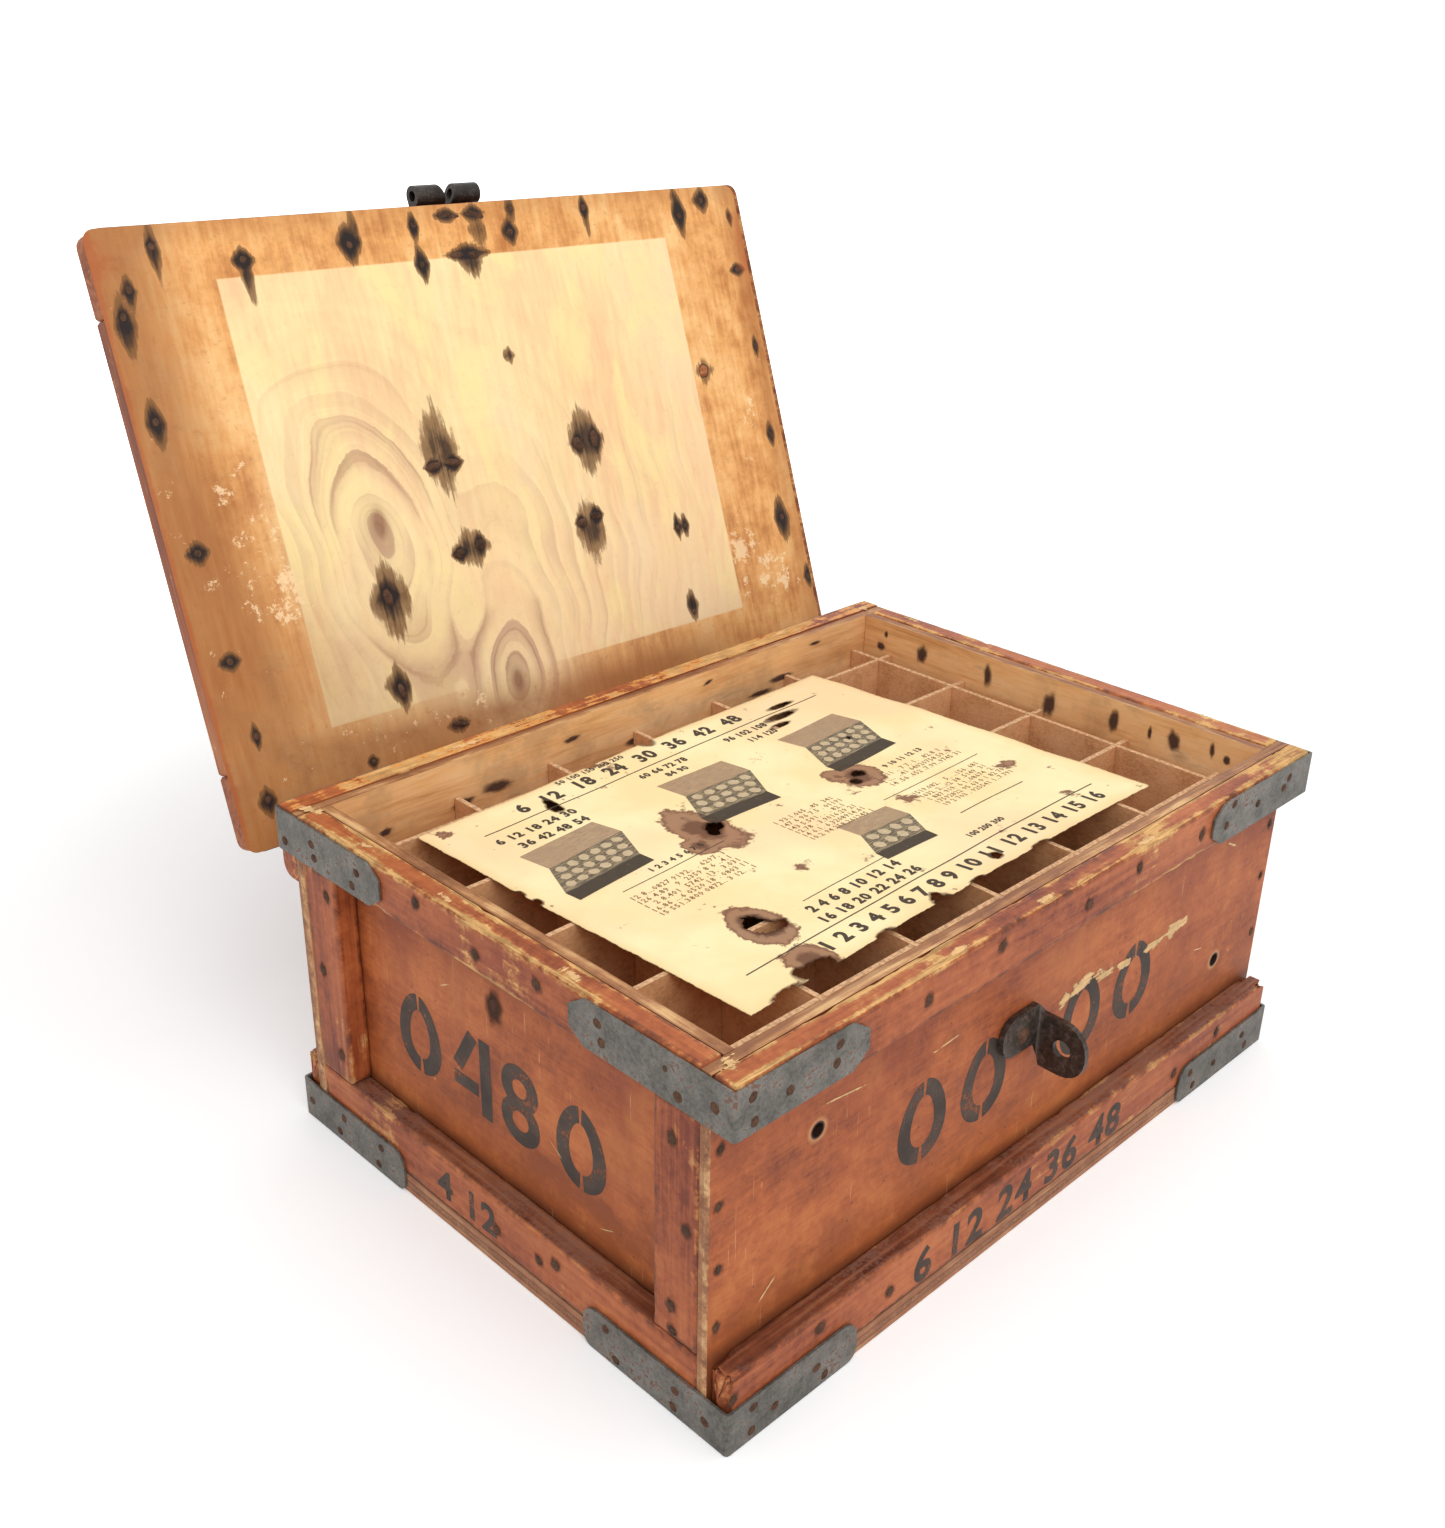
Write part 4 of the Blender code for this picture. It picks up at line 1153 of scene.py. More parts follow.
@dataclass(frozen=True)
class Plane:
    """Flat face of a board, panel or lid."""

    origin: Point
    right: Point
    up: Point

    def at(self, across: Array, high: Array, rise: Array) -> Array:
        """World points of places on the plane.

        Args:
            across: places along its right.
            high: places along its up.
            rise: heights over it.

        Returns:
            The points.
        """
        right, up = np.array(self.right), np.array(self.up)
        flat = np.array(self.origin) + across[..., None] * right + high[..., None] * up
        return flat + rise[..., None] * np.cross(right, up)


class Side(Enum):
    """Sides of the crate, by the way that each faces."""

    FRONT = (0, -1)
    BACK = (0, 1)
    LEFT = (-1, 0)
    RIGHT = (1, 0)

    def axis(self) -> Axis:
        """Axis that the side runs along."""
        return Axis.Y if self.value[0] else Axis.X

    def plane(self, out: float) -> Plane:
        """Upright plane that faces the side's way, out from the middle."""
        x, y = self.value
        return Plane((x * out, y * out, 0), (-y, x, 0), (0, 0, 1))

    def panel(self) -> Plane:
        """Outer face of the side's panel."""
        return self.plane(PANEL_OUT[self.axis()])

    def rail(self) -> Plane:
        """Outer face of the side's rails."""
        return self.plane(RAIL_OUT[self.axis()])


def metres(rows: "Rows | list") -> Array:
    """Table in metres.

    Args:
        rows: of which the first four numbers are in millimetres.

    Returns:
        The rows, these numbers in metres.
    """
    table = np.array(rows, dtype=float)
    table[:, :4] *= MM
    return table


def slanted(rows: Array, wide: Array, tall: Array) -> tuple[Array, Array]:
    """Offsets from each row's middle, turned by its slant.

    Args:
        rows: across, up, two sizes and slant of each.
        wide: offsets along its width.
        tall: offsets along its height.

    Returns:
        Places across and up the face.
    """
    x, y, _, _, slant = rows.T[:, :, None, None]
    across = x + wide * np.cos(slant) - tall * np.sin(slant)
    return across, y + wide * np.sin(slant) + tall * np.cos(slant)


def spots(
    face: Face, rows: Array, rise: float = 0.0, lift: float = STAIN_LIFT, spokes: int = 14
) -> Surface:
    """Many small ovals on one face: flat patches, or domes where rise is given.

    A spot is a grid of rings and spokes. Its outline is an ellipse whose radius
    wanders by two sine waves, its height is the rise times the square root of
    one less the square of the ring's share, and its mask is one less that
    share. A dome's rim is sunk a little.

    Args:
        face: what the spots lie on.
        rows: across, up, half width, half height and slant of each.
        rise: of the dome's middle.
        lift: height of a flat patch over the face.
        spokes: corners of the outline.

    Returns:
        The surface, with its field "mask".
    """
    rings = np.array([1.0, 0.8, 0.55, 0.28])
    number = np.arange(len(rows))
    share = rings[None, :, None]
    spin = (np.arange(spokes) * math.tau / spokes)[None, None, :]
    phase = number[:, None, None]
    wander = 1 + 0.07 * np.sin(2 * spin + phase * 1.3) + 0.05 * np.sin(5 * spin + phase * 2.1)
    half_wide, half_tall = rows.T[2:4, :, None, None]
    wide = half_wide * share * wander * np.cos(spin)
    across, high = slanted(rows, wide, half_tall * share * wander * np.sin(spin))
    level = np.full(len(rows), -DOME_SINK) if rise else lift + LAYER * (number % 5)
    lean = 0.22 * rise * share * np.cos(spin + phase)
    dome = rise * np.sqrt(np.clip(1 - share**2, 0, 1)) + lean + level[:, None, None]
    dome = np.broadcast_to(dome, across.shape)
    body = face.at(across, high, dome).reshape(len(rows), -1, 3)
    tips = face.at(rows[:, 0], rows[:, 1], level + rise)
    points = np.concatenate([body, tips[:, None, :]], axis=1)
    count = points.shape[1]
    sides = grid_faces(len(rings), spokes, wrap=True)
    last = (len(rings) - 1) * spokes + np.arange(spokes)
    cap = np.stack([last, np.roll(last, -1), np.full(spokes, count - 1)], axis=-1)
    offset = (number * count)[:, None, None]
    faces = [(sides[None] + offset).reshape(-1, 4), (cap[None] + offset).reshape(-1, 3)]
    mask = np.concatenate([np.repeat(1 - rings, spokes), [1.0]])
    mask = np.broadcast_to(mask, (len(rows), count)).ravel()
    flat = np.stack([across.reshape(len(rows), -1), high.reshape(len(rows), -1)], axis=-1)
    flat = np.concatenate([flat, rows[:, None, :2]], axis=1).reshape(-1, 2)
    return Surface(points.reshape(-1, 3), faces, {"mask": mask}, flat)


def painted(face: Face, across: Array, high: Array, lift: float, faces: Array) -> Surface:
    """Flat surface at places of a face, with its field "mask" at 1.

    Args:
        face: what it lies on.
        across: places across the face.
        high: places up it.
        lift: height over it.
        faces: corner numbers.

    Returns:
        The surface.
    """
    points = face.at(across, high, np.full(across.shape, lift)).reshape(-1, 3)
    flat = np.stack([across.ravel(), high.ravel()], axis=-1)
    return Surface(points, [faces], {"mask": np.ones(len(points))}, flat)


def bars(
    face: Face,
    rows: Array,
    lift: float = INK_LIFT,
    steps: int = 4,
    lanes: int = 1,
    lean: float = 0.0,
) -> Surface:
    """Many flat bars on one face, each a net of quads that follows it.

    Args:
        face: what the bars lie on.
        rows: across, up, half length, half height and slant of each.
        lift: height over the face.
        steps: quads along a bar.
        lanes: quads across it.
        lean: share of its height by which its upper edge moves sideways.

    Returns:
        The surface, with its field "mask" at 1.
    """
    along = np.linspace(-1, 1, steps + 1)[None, None, :]
    half_long, half_tall = rows.T[2:4, :, None, None]
    tall = half_tall * np.linspace(-1, 1, lanes + 1)[None, :, None]
    across, high = slanted(rows, half_long * along + lean * tall, tall)
    offset = (np.arange(len(rows)) * (lanes + 1) * (steps + 1))[:, None, None]
    faces = (grid_faces(lanes + 1, steps + 1)[None] + offset).reshape(-1, 4)
    return painted(face, across, high, lift, faces)


def egg_ring(face: Face, centre: Pair, wide: float, tall: float, stroke: float) -> Surface:
    """Stencilled egg: a ring cut by two narrow bridges.

    The outline's radius along the spoke at angle a is the ellipse's, with the
    half width less a share of the sine of a, which makes the top narrower.

    Args:
        face: what it is painted on.
        centre: its place.
        wide: half width.
        tall: half height.
        stroke: width of the line.

    Returns:
        The surface, with its field "mask" at 1.
    """
    rows, spokes, bridges, gap = 3, 28, 2, 0.16
    part = math.tau / bridges
    share = np.linspace(1.0, 0.0, rows)[:, None]
    pieces = []
    for number in range(bridges):
        start = math.pi / 2 + number * part + gap / 2
        angle = np.linspace(start, start + part - gap, spokes)
        half_wide = (wide - stroke * (1 - share)) * (1 - 0.16 * np.sin(angle)[None, :])
        half_tall = tall - stroke * (1 - share)
        across = centre[0] + half_wide * np.cos(angle)[None, :]
        high = centre[1] + half_tall * np.sin(angle)[None, :]
        pieces.append(painted(face, across, high, INK_LIFT, grid_faces(rows, spokes)))
    return join(pieces)


def numerals(
    face: Face, text: str, centre: Pair, tall: float, curves: int = 5, bold: float = 0.028
) -> Surface:
    """Plain numbers painted on a face.

    The numbers come from the built-in type as flat triangles, are scaled to
    the height wanted and laid through the face's own coordinates.

    Args:
        face: what they are painted on.
        text: the digits.
        centre: their middle.
        tall: height of a digit.
        curves: steps of each bend of a digit's outline.
        bold: how far the outline is pushed out, as a share of the type's size.

    Returns:
        The surface, with its field "mask" at 1.
    """
    curve = bpy.data.curves.new("numerals", "FONT")
    curve.body = text
    curve.offset = bold
    curve.space_character = 1.15  # room for the stencil's broad strokes
    curve.resolution_u = curves
    holder = bpy.data.objects.new("numerals", curve)
    show(holder)
    bpy.context.view_layer.update()
    graph = bpy.context.evaluated_depsgraph_get()
    mesh = bpy.data.meshes.new_from_object(holder.evaluated_get(graph))
    mesh.calc_loop_triangles()
    flat = np.empty(len(mesh.vertices) * 3)
    mesh.vertices.foreach_get("co", flat)
    corners = np.empty(len(mesh.loop_triangles) * 3, dtype=np.int32)
    mesh.loop_triangles.foreach_get("vertices", corners)
    flat = flat.reshape(-1, 3)[:, :2]
    corners = corners.reshape(-1, 3)
    bpy.data.objects.remove(holder)
    bpy.data.curves.remove(curve)
    bpy.data.meshes.remove(mesh)
    low, high = flat.min(axis=0), flat.max(axis=0)
    flat = (flat - (low + high) / 2) * tall / (high[1] - low[1]) + np.array(centre)
    a, b, c = (flat[corners[:, index]] for index in range(3))
    turn = (b - a)[:, 0] * (c - a)[:, 1] - (b - a)[:, 1] * (c - a)[:, 0]
    corners = np.where((turn < 0)[:, None], corners[:, ::-1], corners)
    return painted(face, flat[:, 0], flat[:, 1], INK_LIFT, corners)


@dataclass
class WornBoard:
    """Skin of one solid board, its arrises rounded, dented and chipped.

    The section is a rectangle with rounded corners, carried along the board's
    length. Near the ends it is drawn in as a quarter circle, and each end is
    closed with a fan round one point. Dents push the arrises in by a wandering
    sum of sines, cut off below a threshold, and a chewed board loses more at
    the corners of its ends.
    """

    node: str
    axis: Axis
    body: Body = Body.CRATE
    round_edge: float = 0.0013
    dent: float = 0.0016
    chew: float = 0.0
    seed: float = 1.0
    step: float = 0.0024
    lane: float = 0.0032
    bare_depth: float = 0.0016
    worn_band: float = 0.002
    close: tuple[float, ...] = (0.0006, 0.0013, 0.0024)

    def build(self, material: Material) -> None:
        """Make the skin, which replaces the board's node.

        Args:
            material: its finish.
        """
        low, high = (np.array(corner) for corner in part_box(self.node))
        order = [self.axis.value, (self.axis.value + 1) % 3, (self.axis.value + 2) % 3]
        centre = ((low + high) / 2)[order]
        half = ((high - low) / 2)[order]
        shape, edge, end = self.skin(half)
        back = np.argsort(order)
        world = (shape + centre)[..., back]
        rough = ripple(world, 21.0, self.seed) * 0.6 + ripple(world, 83.0, self.seed + 3) * 0.4
        depth = np.clip(rough - 0.2, 0, None) * self.dent * smooth(edge, 0.25, 1.0)
        bite = smooth(end, 0.013, 0.0)[:, None] * smooth(edge, 0.5, 1.0)
        depth = depth + self.chew * bite * (0.55 + 0.9 * np.clip(rough + 0.3, 0, 1))
        near = np.abs(shape) > half - self.round_edge * 1.5
        inward = -np.sign(shape) * near
        inward = inward / np.maximum(np.linalg.norm(inward, axis=-1, keepdims=True), TINY)
        world = (shape + inward * depth[..., None] + centre)[..., back]
        rows, columns = world.shape[:2]
        tips = np.array([[-half[0], 0, 0], [half[0], 0, 0]]) + centre
        points = np.concatenate([world.reshape(-1, 3), tips[:, back]])
        count = rows * columns
        first = np.arange(columns)
        last = (rows - 1) * columns + first
        faces = [
            grid_faces(rows, columns, wrap=True),
            np.stack([np.full(columns, count), np.roll(first, -1), first], axis=-1),
            np.stack([np.full(columns, count + 1), last, np.roll(last, -1)], axis=-1),
        ]
        if self.signed_volume(points, faces[0]) < 0:
            faces = [block[:, ::-1] for block in faces]
        edge = np.clip(edge + depth / self.bare_depth, 0, 1.5)
        fields = {
            "edge": np.append(edge.ravel(), [0.1, 0.1]),
            "low_darkening": np.append(self.low_darkening(world).ravel(), [0.3, 0.3]),
        }
        piece = Surface(points, faces, fields).make(self.node + "_skin", material, self.body)
        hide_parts(self.node)

    def skin(self, half: Array) -> tuple[Array, Array, Array]:
        """Undented skin of a board, its length first.

        Args:
            half: half the length, width and height.

        Returns:
            Points by station and corner, how near each is to an arris from 0
            to 1, and each station's distance from the nearer end.
        """
        length, wide, tall = half
        radius = min(self.round_edge, wide * 0.45, tall * 0.45)
        stations = self.stations(length, radius)
        loop, corner = self.section(wide, tall, radius)
        end = length - np.abs(stations)
        pull = radius - np.sqrt(np.clip(radius**2 - np.clip(radius - end, 0, None) ** 2, 0, None))
        narrow = 1 - pull[:, None] / np.array([wide, tall])
        shape = np.empty((len(stations), len(loop), 3))
        shape[..., 0] = stations[:, None]
        shape[..., 1:] = loop[None] * narrow[:, None, :]
        near_end = smooth(end - radius, self.worn_band, 0.0)[:, None]
        edge = np.maximum(corner[None, :], near_end * 0.85)
        return shape, np.minimum(edge + corner[None, :] * near_end * 0.5, 1.5), end

    def stations(self, length: float, radius: float) -> Array:
        """Places along the board, closer at its rounded ends.

        Args:
            length: half the board's.
            radius: of its rounded ends.

        Returns:
            The places, from end to end.
        """
        body = length - radius
        inner = body - self.close[-1] - self.step
        middle = np.linspace(-inner, inner, max(8, int(2 * inner / self.step)))
        turn = radius * np.sin(np.linspace(0, math.pi / 2, 5))
        tail = np.concatenate([body - np.array(self.close[::-1]), body + turn])
        return np.concatenate([-tail[::-1], middle, tail])

    def section(self, wide: float, tall: float, radius: float) -> tuple[Array, Array]:
        """Section's points and how near each is to a corner, 0 to 1.

        Args:
            wide: half the section's width.
            tall: half its height.
            radius: of the corners.

        Returns:
            Points in the section's plane, and one number for each.
        """
        bits, marks = [], []
        close = np.array(self.close)
        for quarter, (sx, sy) in enumerate(((1, 1), (-1, 1), (-1, -1), (1, -1))):
            angle = quarter * math.pi / 2 + np.linspace(0, math.pi / 2, 4)
            turn = np.stack([np.cos(angle), np.sin(angle)], axis=-1) * radius
            turn = turn + np.array([sx * (wide - radius), sy * (tall - radius)])
            run = 2 * (wide if quarter % 2 == 0 else tall) - 2 * radius
            count = max(2, int(run / self.lane))
            middle = np.linspace(close[-1], run - close[-1], count + 1)[1:-1]
            share = np.concatenate([close, middle, run - close[::-1]])
            way = np.array([-sx, 0]) if quarter % 2 == 0 else np.array([0, -sy])
            bits += [turn, turn[-1] + way * share[:, None]]
            near = np.minimum(share, run - share)
            marks += [np.full(4, 1.0), smooth(near, self.worn_band, 0.0) * 0.85]
        return np.concatenate(bits), np.concatenate(marks)

    def low_darkening(self, world: Array) -> Array:
        """Darkening low on the board, stronger where it wanders.

        Args:
            world: points of the skin.

        Returns:
            One number from 0 to 1 for each.
        """
        high = world[..., 2]
        span = max(float(high.max() - high.min()), 1e-6)
        share = (high - high.min()) / span
        return np.clip(smooth(share, 0.35, 0.0) * (0.55 + 0.6 * ripple(world, 13.0, 7.0)), 0, 1)

    @staticmethod
    def signed_volume(points: Array, quads: Array) -> float:
        """Six times the volume under a skin's quads.

        Args:
            points: of the skin.
            quads: corner numbers.

        Returns:
            A number that is positive if they face out.
        """
        centre = points.mean(axis=0)
        a, b, c = (points[quads[:, index]] - centre for index in range(3))
        return float(np.einsum("ij,ij->i", a, np.cross(b, c)).sum())


# ---- the pieces


def dress(material: Material, *nodes: str) -> None:
    """Give CAD nodes one finish.

    Args:
        material: the finish.
        nodes: their names.
    """
    for node in nodes:
        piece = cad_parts[node]
        for slot in piece.material_slots:
            slot.material = material
        if not piece.material_slots:
            piece.data.materials.append(material)
        LOG.info("%s: %s", node, material.name)


@dataclass
class Lid:
    """Open lid: its frame, its inner veneer and the nails that show in it."""

    pin: Point = (0.003, 0.1365, 0.1301)
    skew: float = math.radians(-0.88)
    opening: float = math.radians(109.9)
    rear: float = 0.1372
    inner: float = 0.1613
    half: float = 0.1886
    depth: float = 0.2755
    corner: float = 0.0056
    lift: float = 0.00015
    flush: float = 0.00003
    rim_x: float = 0.169
    rim_near: float = 0.019
    rim_far: float = 0.254
    # Rust stains: x, s, half width, half height, darkness; millimetres.
    stains: Rows = (
        (-159, 265, 4, 16, 0.75), (-159.5, 267, 3, 5, 1.0), (-118.5, 257, 7, 6, 1.0),
        (-118, 250, 4, 14, 0.7), (-63, 261, 8, 10, 1.0), (-59, 268, 4, 12, 0.6),
        (-26, 266, 4, 8, 0.95), (-26, 248, 5, 10, 1.0), (-6, 270, 9, 4, 0.9),
        (10, 270, 8, 5, 0.95), (11, 262, 7, 12, 0.55), (1.5, 251, 15, 5, 1.0),
        (3, 247, 9, 9, 0.7), (30, 260, 6, 7, 1.0), (33, 271, 4, 8, 0.8),
        (80, 268, 4, 8, 0.95), (80, 262, 3, 12, 0.5), (145, 262, 6, 13, 1.0),
        (144, 271, 4, 9, 0.6), (163, 268, 7, 8, 0.9), (-174.5, 248, 4, 8, 0.95),
        (-180, 234, 6, 14, 0.85), (-180, 238, 4, 6, 1.0), (-178, 192, 6, 11, 0.95),
        (-175, 135, 7, 6, 0.95), (-173.5, 86, 7, 5, 1.0), (-170.5, 51, 3, 7, 0.95),
        (-173, 21, 6, 8, 0.85), (-117, 24, 4, 4, 0.9), (-67, 29, 8, 5, 0.8),
        (182, 258, 3, 6, 0.8), (180, 229, 7, 4, 1.0), (182, 186, 3, 7, 0.9),
        (180, 136, 4, 8, 0.85), (175.5, 88, 7, 14, 0.9), (187, 52, 5, 8, 0.85),
        (12, 200, 5, 5, 0.62), (-41, 160, 14, 27, 0.62), (-46, 153, 7, 5, 1.15),
        (-35, 153, 7, 5, 1.15), (48.5, 152, 14, 20, 0.7), (43, 151, 6, 8, 1.1),
        (54, 152, 6, 9, 1.1), (-36, 111, 14, 11, 0.62), (-43, 109.5, 6, 5, 1.1),
        (-30.5, 112, 5, 7, 1.05), (39, 106, 13, 20, 0.6), (34, 111, 5, 5, 1.1),
        (44, 113, 6, 6, 1.1), (-87, 95, 14, 21, 0.66), (-87.5, 97, 9, 12, 1.0),
        (-93, 54, 7, 13, 0.85), (-97, 56, 7, 7, 0.5), (97, 97, 3.4, 7, 0.95),
        (102.5, 97, 3.4, 7, 0.95), (96, 54, 5, 10, 0.85), (140, 177, 9, 9, 0.5),
    )

    def turn(self) -> Array:
        """Rotation that opens the closed lid about its askew hinge axis."""
        askew, back = (Matrix.Rotation(angle, 3, "Z") for angle in (self.skew, -self.skew))
        return np.array(askew @ Matrix.Rotation(-self.opening, 3, "X") @ back)

    def at(self, across: Array, high: Array, rise: Array) -> Array:
        """World points of places on the inner face of the open lid.

        Args:
            across: x along the crate.
            high: distance s from the rear edge.
            rise: height over the inner face.

        Returns:
            The points.
        """
        places = np.broadcast_arrays(across, self.rear - high, self.inner - rise)
        closed, pin = np.stack(places, axis=-1), np.array(self.pin)
        return (closed - pin) @ self.turn().T + pin

    def fields(self, x: Array, s: Array) -> dict[str, Array]:
        """Numbers that drive the veneer's finish, at places in millimetres.

        The growth field is the smooth lesser of two domes, each the distance
        from a knot with s counted less; so its level lines arch over the
        knots and run along s elsewhere. A stain falls from its strength with
        the offset over its half sizes, and the largest value counts.

        Args:
            x: places along the crate.
            s: distances from the rear edge.

        Returns:
            The fields by name.
        """

        def hump(cx: float, cs: float, wx: float, ws: float) -> Array:
            """Bell of the squared offsets over its widths."""
            return np.exp(-(((x - cx) / wx) ** 2) - ((s - cs) / ws) ** 2)

        def dome(cx: float, cs: float, above: float, below: float, lean: float) -> Array:
            """Distance from a knot, s counted less and least far aside.

            Args:
                cx: the knot's x.
                cs: its s.
                above: share of s that counts over it.
                below: the same under it.
                lean: sideways for each step along s.

            Returns:
                One number per place.
            """
            aside = x - cx - lean * (s - cs)
            steep = below + (above - below) * smooth(s, cs - 14, cs + 14)
            return np.sqrt(aside**2 + (steep * (s - cs)) ** 2 * np.exp(-((aside / 95) ** 2)) + 4)

        wander = 2.6 * np.sin(s / 29.0 + x / 60.0) + 1.8 * np.sin(s / 15.0 - x / 31.0 + 1.3)
        wander = wander + 1.2 * np.sin(s / 7.3 + x / 13.0) - 4.0 * hump(-104, 110, 16, 24)
        first = dome(-84, 130, 0.66, 0.34, -0.12)
        second = dome(-27, 42, 0.4, 0.6, 0.1) + 6
        blend = 7.0
        grain = wander - blend * np.log(np.exp(-first / blend) + np.exp(-second / blend))
        rust = np.zeros_like(x)
        for cx, cs, wx, ws, dark in self.stains:
            reach = (np.abs(x - cx) / wx) ** 1.5 + np.abs(s - cs) / (1.15 * ws)
            rust = np.maximum(rust, dark * np.clip(1.18 - reach * 0.95, 0, 1))
        swirl = 0.9 * hump(-87, 138, 40, 56) + 0.95 * hump(-27, 48, 32, 34)
        swirl = swirl + 0.4 * hump(-20, 100, 50, 40) + 0.22 * hump(40, 110, 70, 70)
        swirl = swirl + 0.45 * hump(-85, 66, 40, 26)
        knot = hump(-83, 132, 3.2, 6) + 0.5 * hump(-85, 128, 9, 15) + hump(-27, 41, 3.6, 6.5)
        knot = knot + 0.35 * hump(-27, 44, 9, 13)
        shade = 1.05 * smooth(x, -136, -180) + 0.9 * smooth(s, 50, 26) * smooth(x, 140, 60)
        shade = shade + 0.5 * smooth(x, 168, 186) + 0.35 * smooth(s, 262, 274)
        shade = shade + 0.45 * hump(-150, 60, 40, 70) + 0.28 * hump(-100, 60, 60, 40)
        shade = shade + 0.3 * hump(140, 30, 60, 30) + 0.3 * smooth(s, 40, 14)
        flake = 0.62 * hump(-148, 150, 20, 24) + 0.85 * hump(-142, 110, 24, 18)
        flake = flake + 0.8 * hump(140, 84, 14, 22) + 0.85 * hump(158, 58, 22, 18)
        flake = flake + 0.6 * hump(-80, 34, 70, 10) + 0.5 * hump(165, 150, 14, 30)
        flake = flake + 0.4 * hump(-182, 150, 8, 120) + 0.35 * hump(120, 170, 20, 40)
        red = hump(189, 243, 9, 30) + 1.2 * smooth(x, -184, -189) + 0.8 * hump(-186, 262, 12, 14)
        fields = {"grain": grain / 100, "rust": rust, "swirl": np.clip(swirl, 0, 1)}
        fields |= {"knot": np.clip(knot, 0, 1), "shade": np.clip(shade, 0, 1)}
        return fields | {"flake": flake, "red": np.clip(red, 0, 1)}

    def build_veneer(self, material: Material) -> None:
        """Inner ply of the lid as a fine grid, its corners drawn in to an arc.

        Args:
            material: its finish.
        """
        rows, columns, inset = 172, 236, 0.0004
        s, x = np.meshgrid(
            np.linspace(inset, self.depth - 0.0003, rows),
            np.linspace(-self.half, self.half, columns),
            indexing="ij",
        )
        middle = self.depth / 2
        straight_x, straight_s = self.half - self.corner, middle - inset - self.corner
        over_x = np.abs(x) - straight_x
        over_s = np.abs(s - middle) - straight_s
        reach = np.hypot(over_x, over_s)
        outside = (over_x > 0) & (over_s > 0) & (reach > self.corner)
        factor = np.where(outside, self.corner / np.maximum(reach, TINY), 1.0)
        x = np.where(outside, np.sign(x) * (straight_x + over_x * factor), x)
        s = np.where(outside, middle + np.sign(s - middle) * (straight_s + over_s * factor), s)
        points = self.at(x, s, np.full(x.shape, self.lift)).reshape(-1, 3)
        numbers = self.fields(x.ravel() / MM, s.ravel() / MM)
        flat = np.stack([x.ravel(), s.ravel()], axis=-1)
        surface = Surface(points, [grid_faces(rows, columns)], numbers, flat)
        surface.make("lid_inner_veneer", material, Body.LID, shade=False)

    def dress_boards(self) -> None:
        """Stain the battens and dress the plywood's outer face and edges."""
        dress(PlainStain("lid_stain_x", Axis.X).material(), "lid_front_batten", "lid_rear_batten")
        along = self.turn() @ (0.0, -1.0, 0.0)
        side = PlainStain("lid_side_stain", Axis.Z, turn=math.atan2(along[1], along[2]))
        dress(side.material(), "lid_left_batten", "lid_right_batten")
        outward = tuple(float(part) for part in self.turn() @ (0.0, 0.0, 1.0))
        dress(LidEdge("lid_edge_finish", outward).material(), "lid_panel")

    def over_rim(self, rows: Array) -> Array:
        """Which places of a table in metres meet the crate's rim when closed."""
        x, s = np.abs(rows[:, 0]), rows[:, 1]
        return (x > self.rim_x) | (s > self.rim_far) | (s < self.rim_near)

    def build_points(self, iron: Material) -> None:
        """Nail points: some bent over, some just showing.

        Those that meet the rim of the closed crate are hammered in flush.

        Args:
            iron: their finish.
        """
        bent = [
            (-47, 153, 5.2, 2.0, 0.1), (-35, 153.5, 5.0, 2.0, -0.2), (43, 151, 3.2, 4.2, 0.3),
            (54, 152, 3, 4.5, -0.2), (-43.5, 109.5, 4, 2.2, 0.2), (-30.5, 111.5, 3, 3, 0),
            (34, 111, 3.6, 2.2, 0.1), (44, 113, 3.8, 2.2, -0.1), (-5, 251, 4.6, 1.6, 0.1),
            (5.5, 250.5, 4, 1.8, -0.1), (-7.5, 270.5, 4.4, 1.2, 0.05), (-1.5, 269.3, 3, 1, 0),
            (8, 270, 3.6, 1.5, 0.1), (13, 269, 3.4, 1.4, -0.3), (-88, 97, 2.4, 4.6, 0.2),
            (-93, 52, 1.8, 4.6, 0.1), (-66, 29, 5.4, 1.4, -0.25), (29.5, 259.5, 2.4, 1.6, 0.4),
        ]
        plain = [
            (-159.5, 266), (-118.5, 257.5), (-63, 260), (-25.5, 267), (-26, 248), (33, 271),
            (80, 269), (145, 261), (163, 268), (-174.5, 249), (-180, 238), (-178, 193),
            (-175, 135), (-173.5, 86), (-170.5, 51), (-173, 22), (-117, 24), (180, 229),
            (182, 186), (180, 136), (175.5, 89), (187, 52), (97, 97), (102.5, 97), (96, 50),
        ]
        rows = metres(bent)
        low = self.over_rim(rows)
        level = self.lift + self.flush
        flush = [spots(self, rows[low], lift=level, spokes=12)]
        spots(self, rows[~low], rise=0.0011, spokes=12).make("lid_clinched_points", iron, Body.LID)
        rows = metres([(x, s, 1.5, 1.7, 0.0) for x, s in plain])
        low = self.over_rim(rows)
        flush.append(spots(self, rows[low], lift=level, spokes=12))
        spots(self, rows[~low], rise=0.0007, spokes=10).make("lid_nail_points", iron, Body.LID)
        join(flush).make("lid_flush_points", iron, Body.LID)

    def build_plug(self, wood: Material, ring: Material) -> None:
        """Round head near the right edge of the pasted rectangle.

        Args:
            wood: the head's finish.
            ring: the finish of the ring round it.
        """
        for name, wide, rise, finish in (
            ("lid_plug_rim", 4.4, 0.0005, ring), ("lid_plug", 3.5, 0.0008, wood),
        ):
            row = metres([(139, 177, wide, wide + 0.2, 0.0)])
            spots(self, row, rise=rise, spokes=24).make(name, finish, Body.LID)


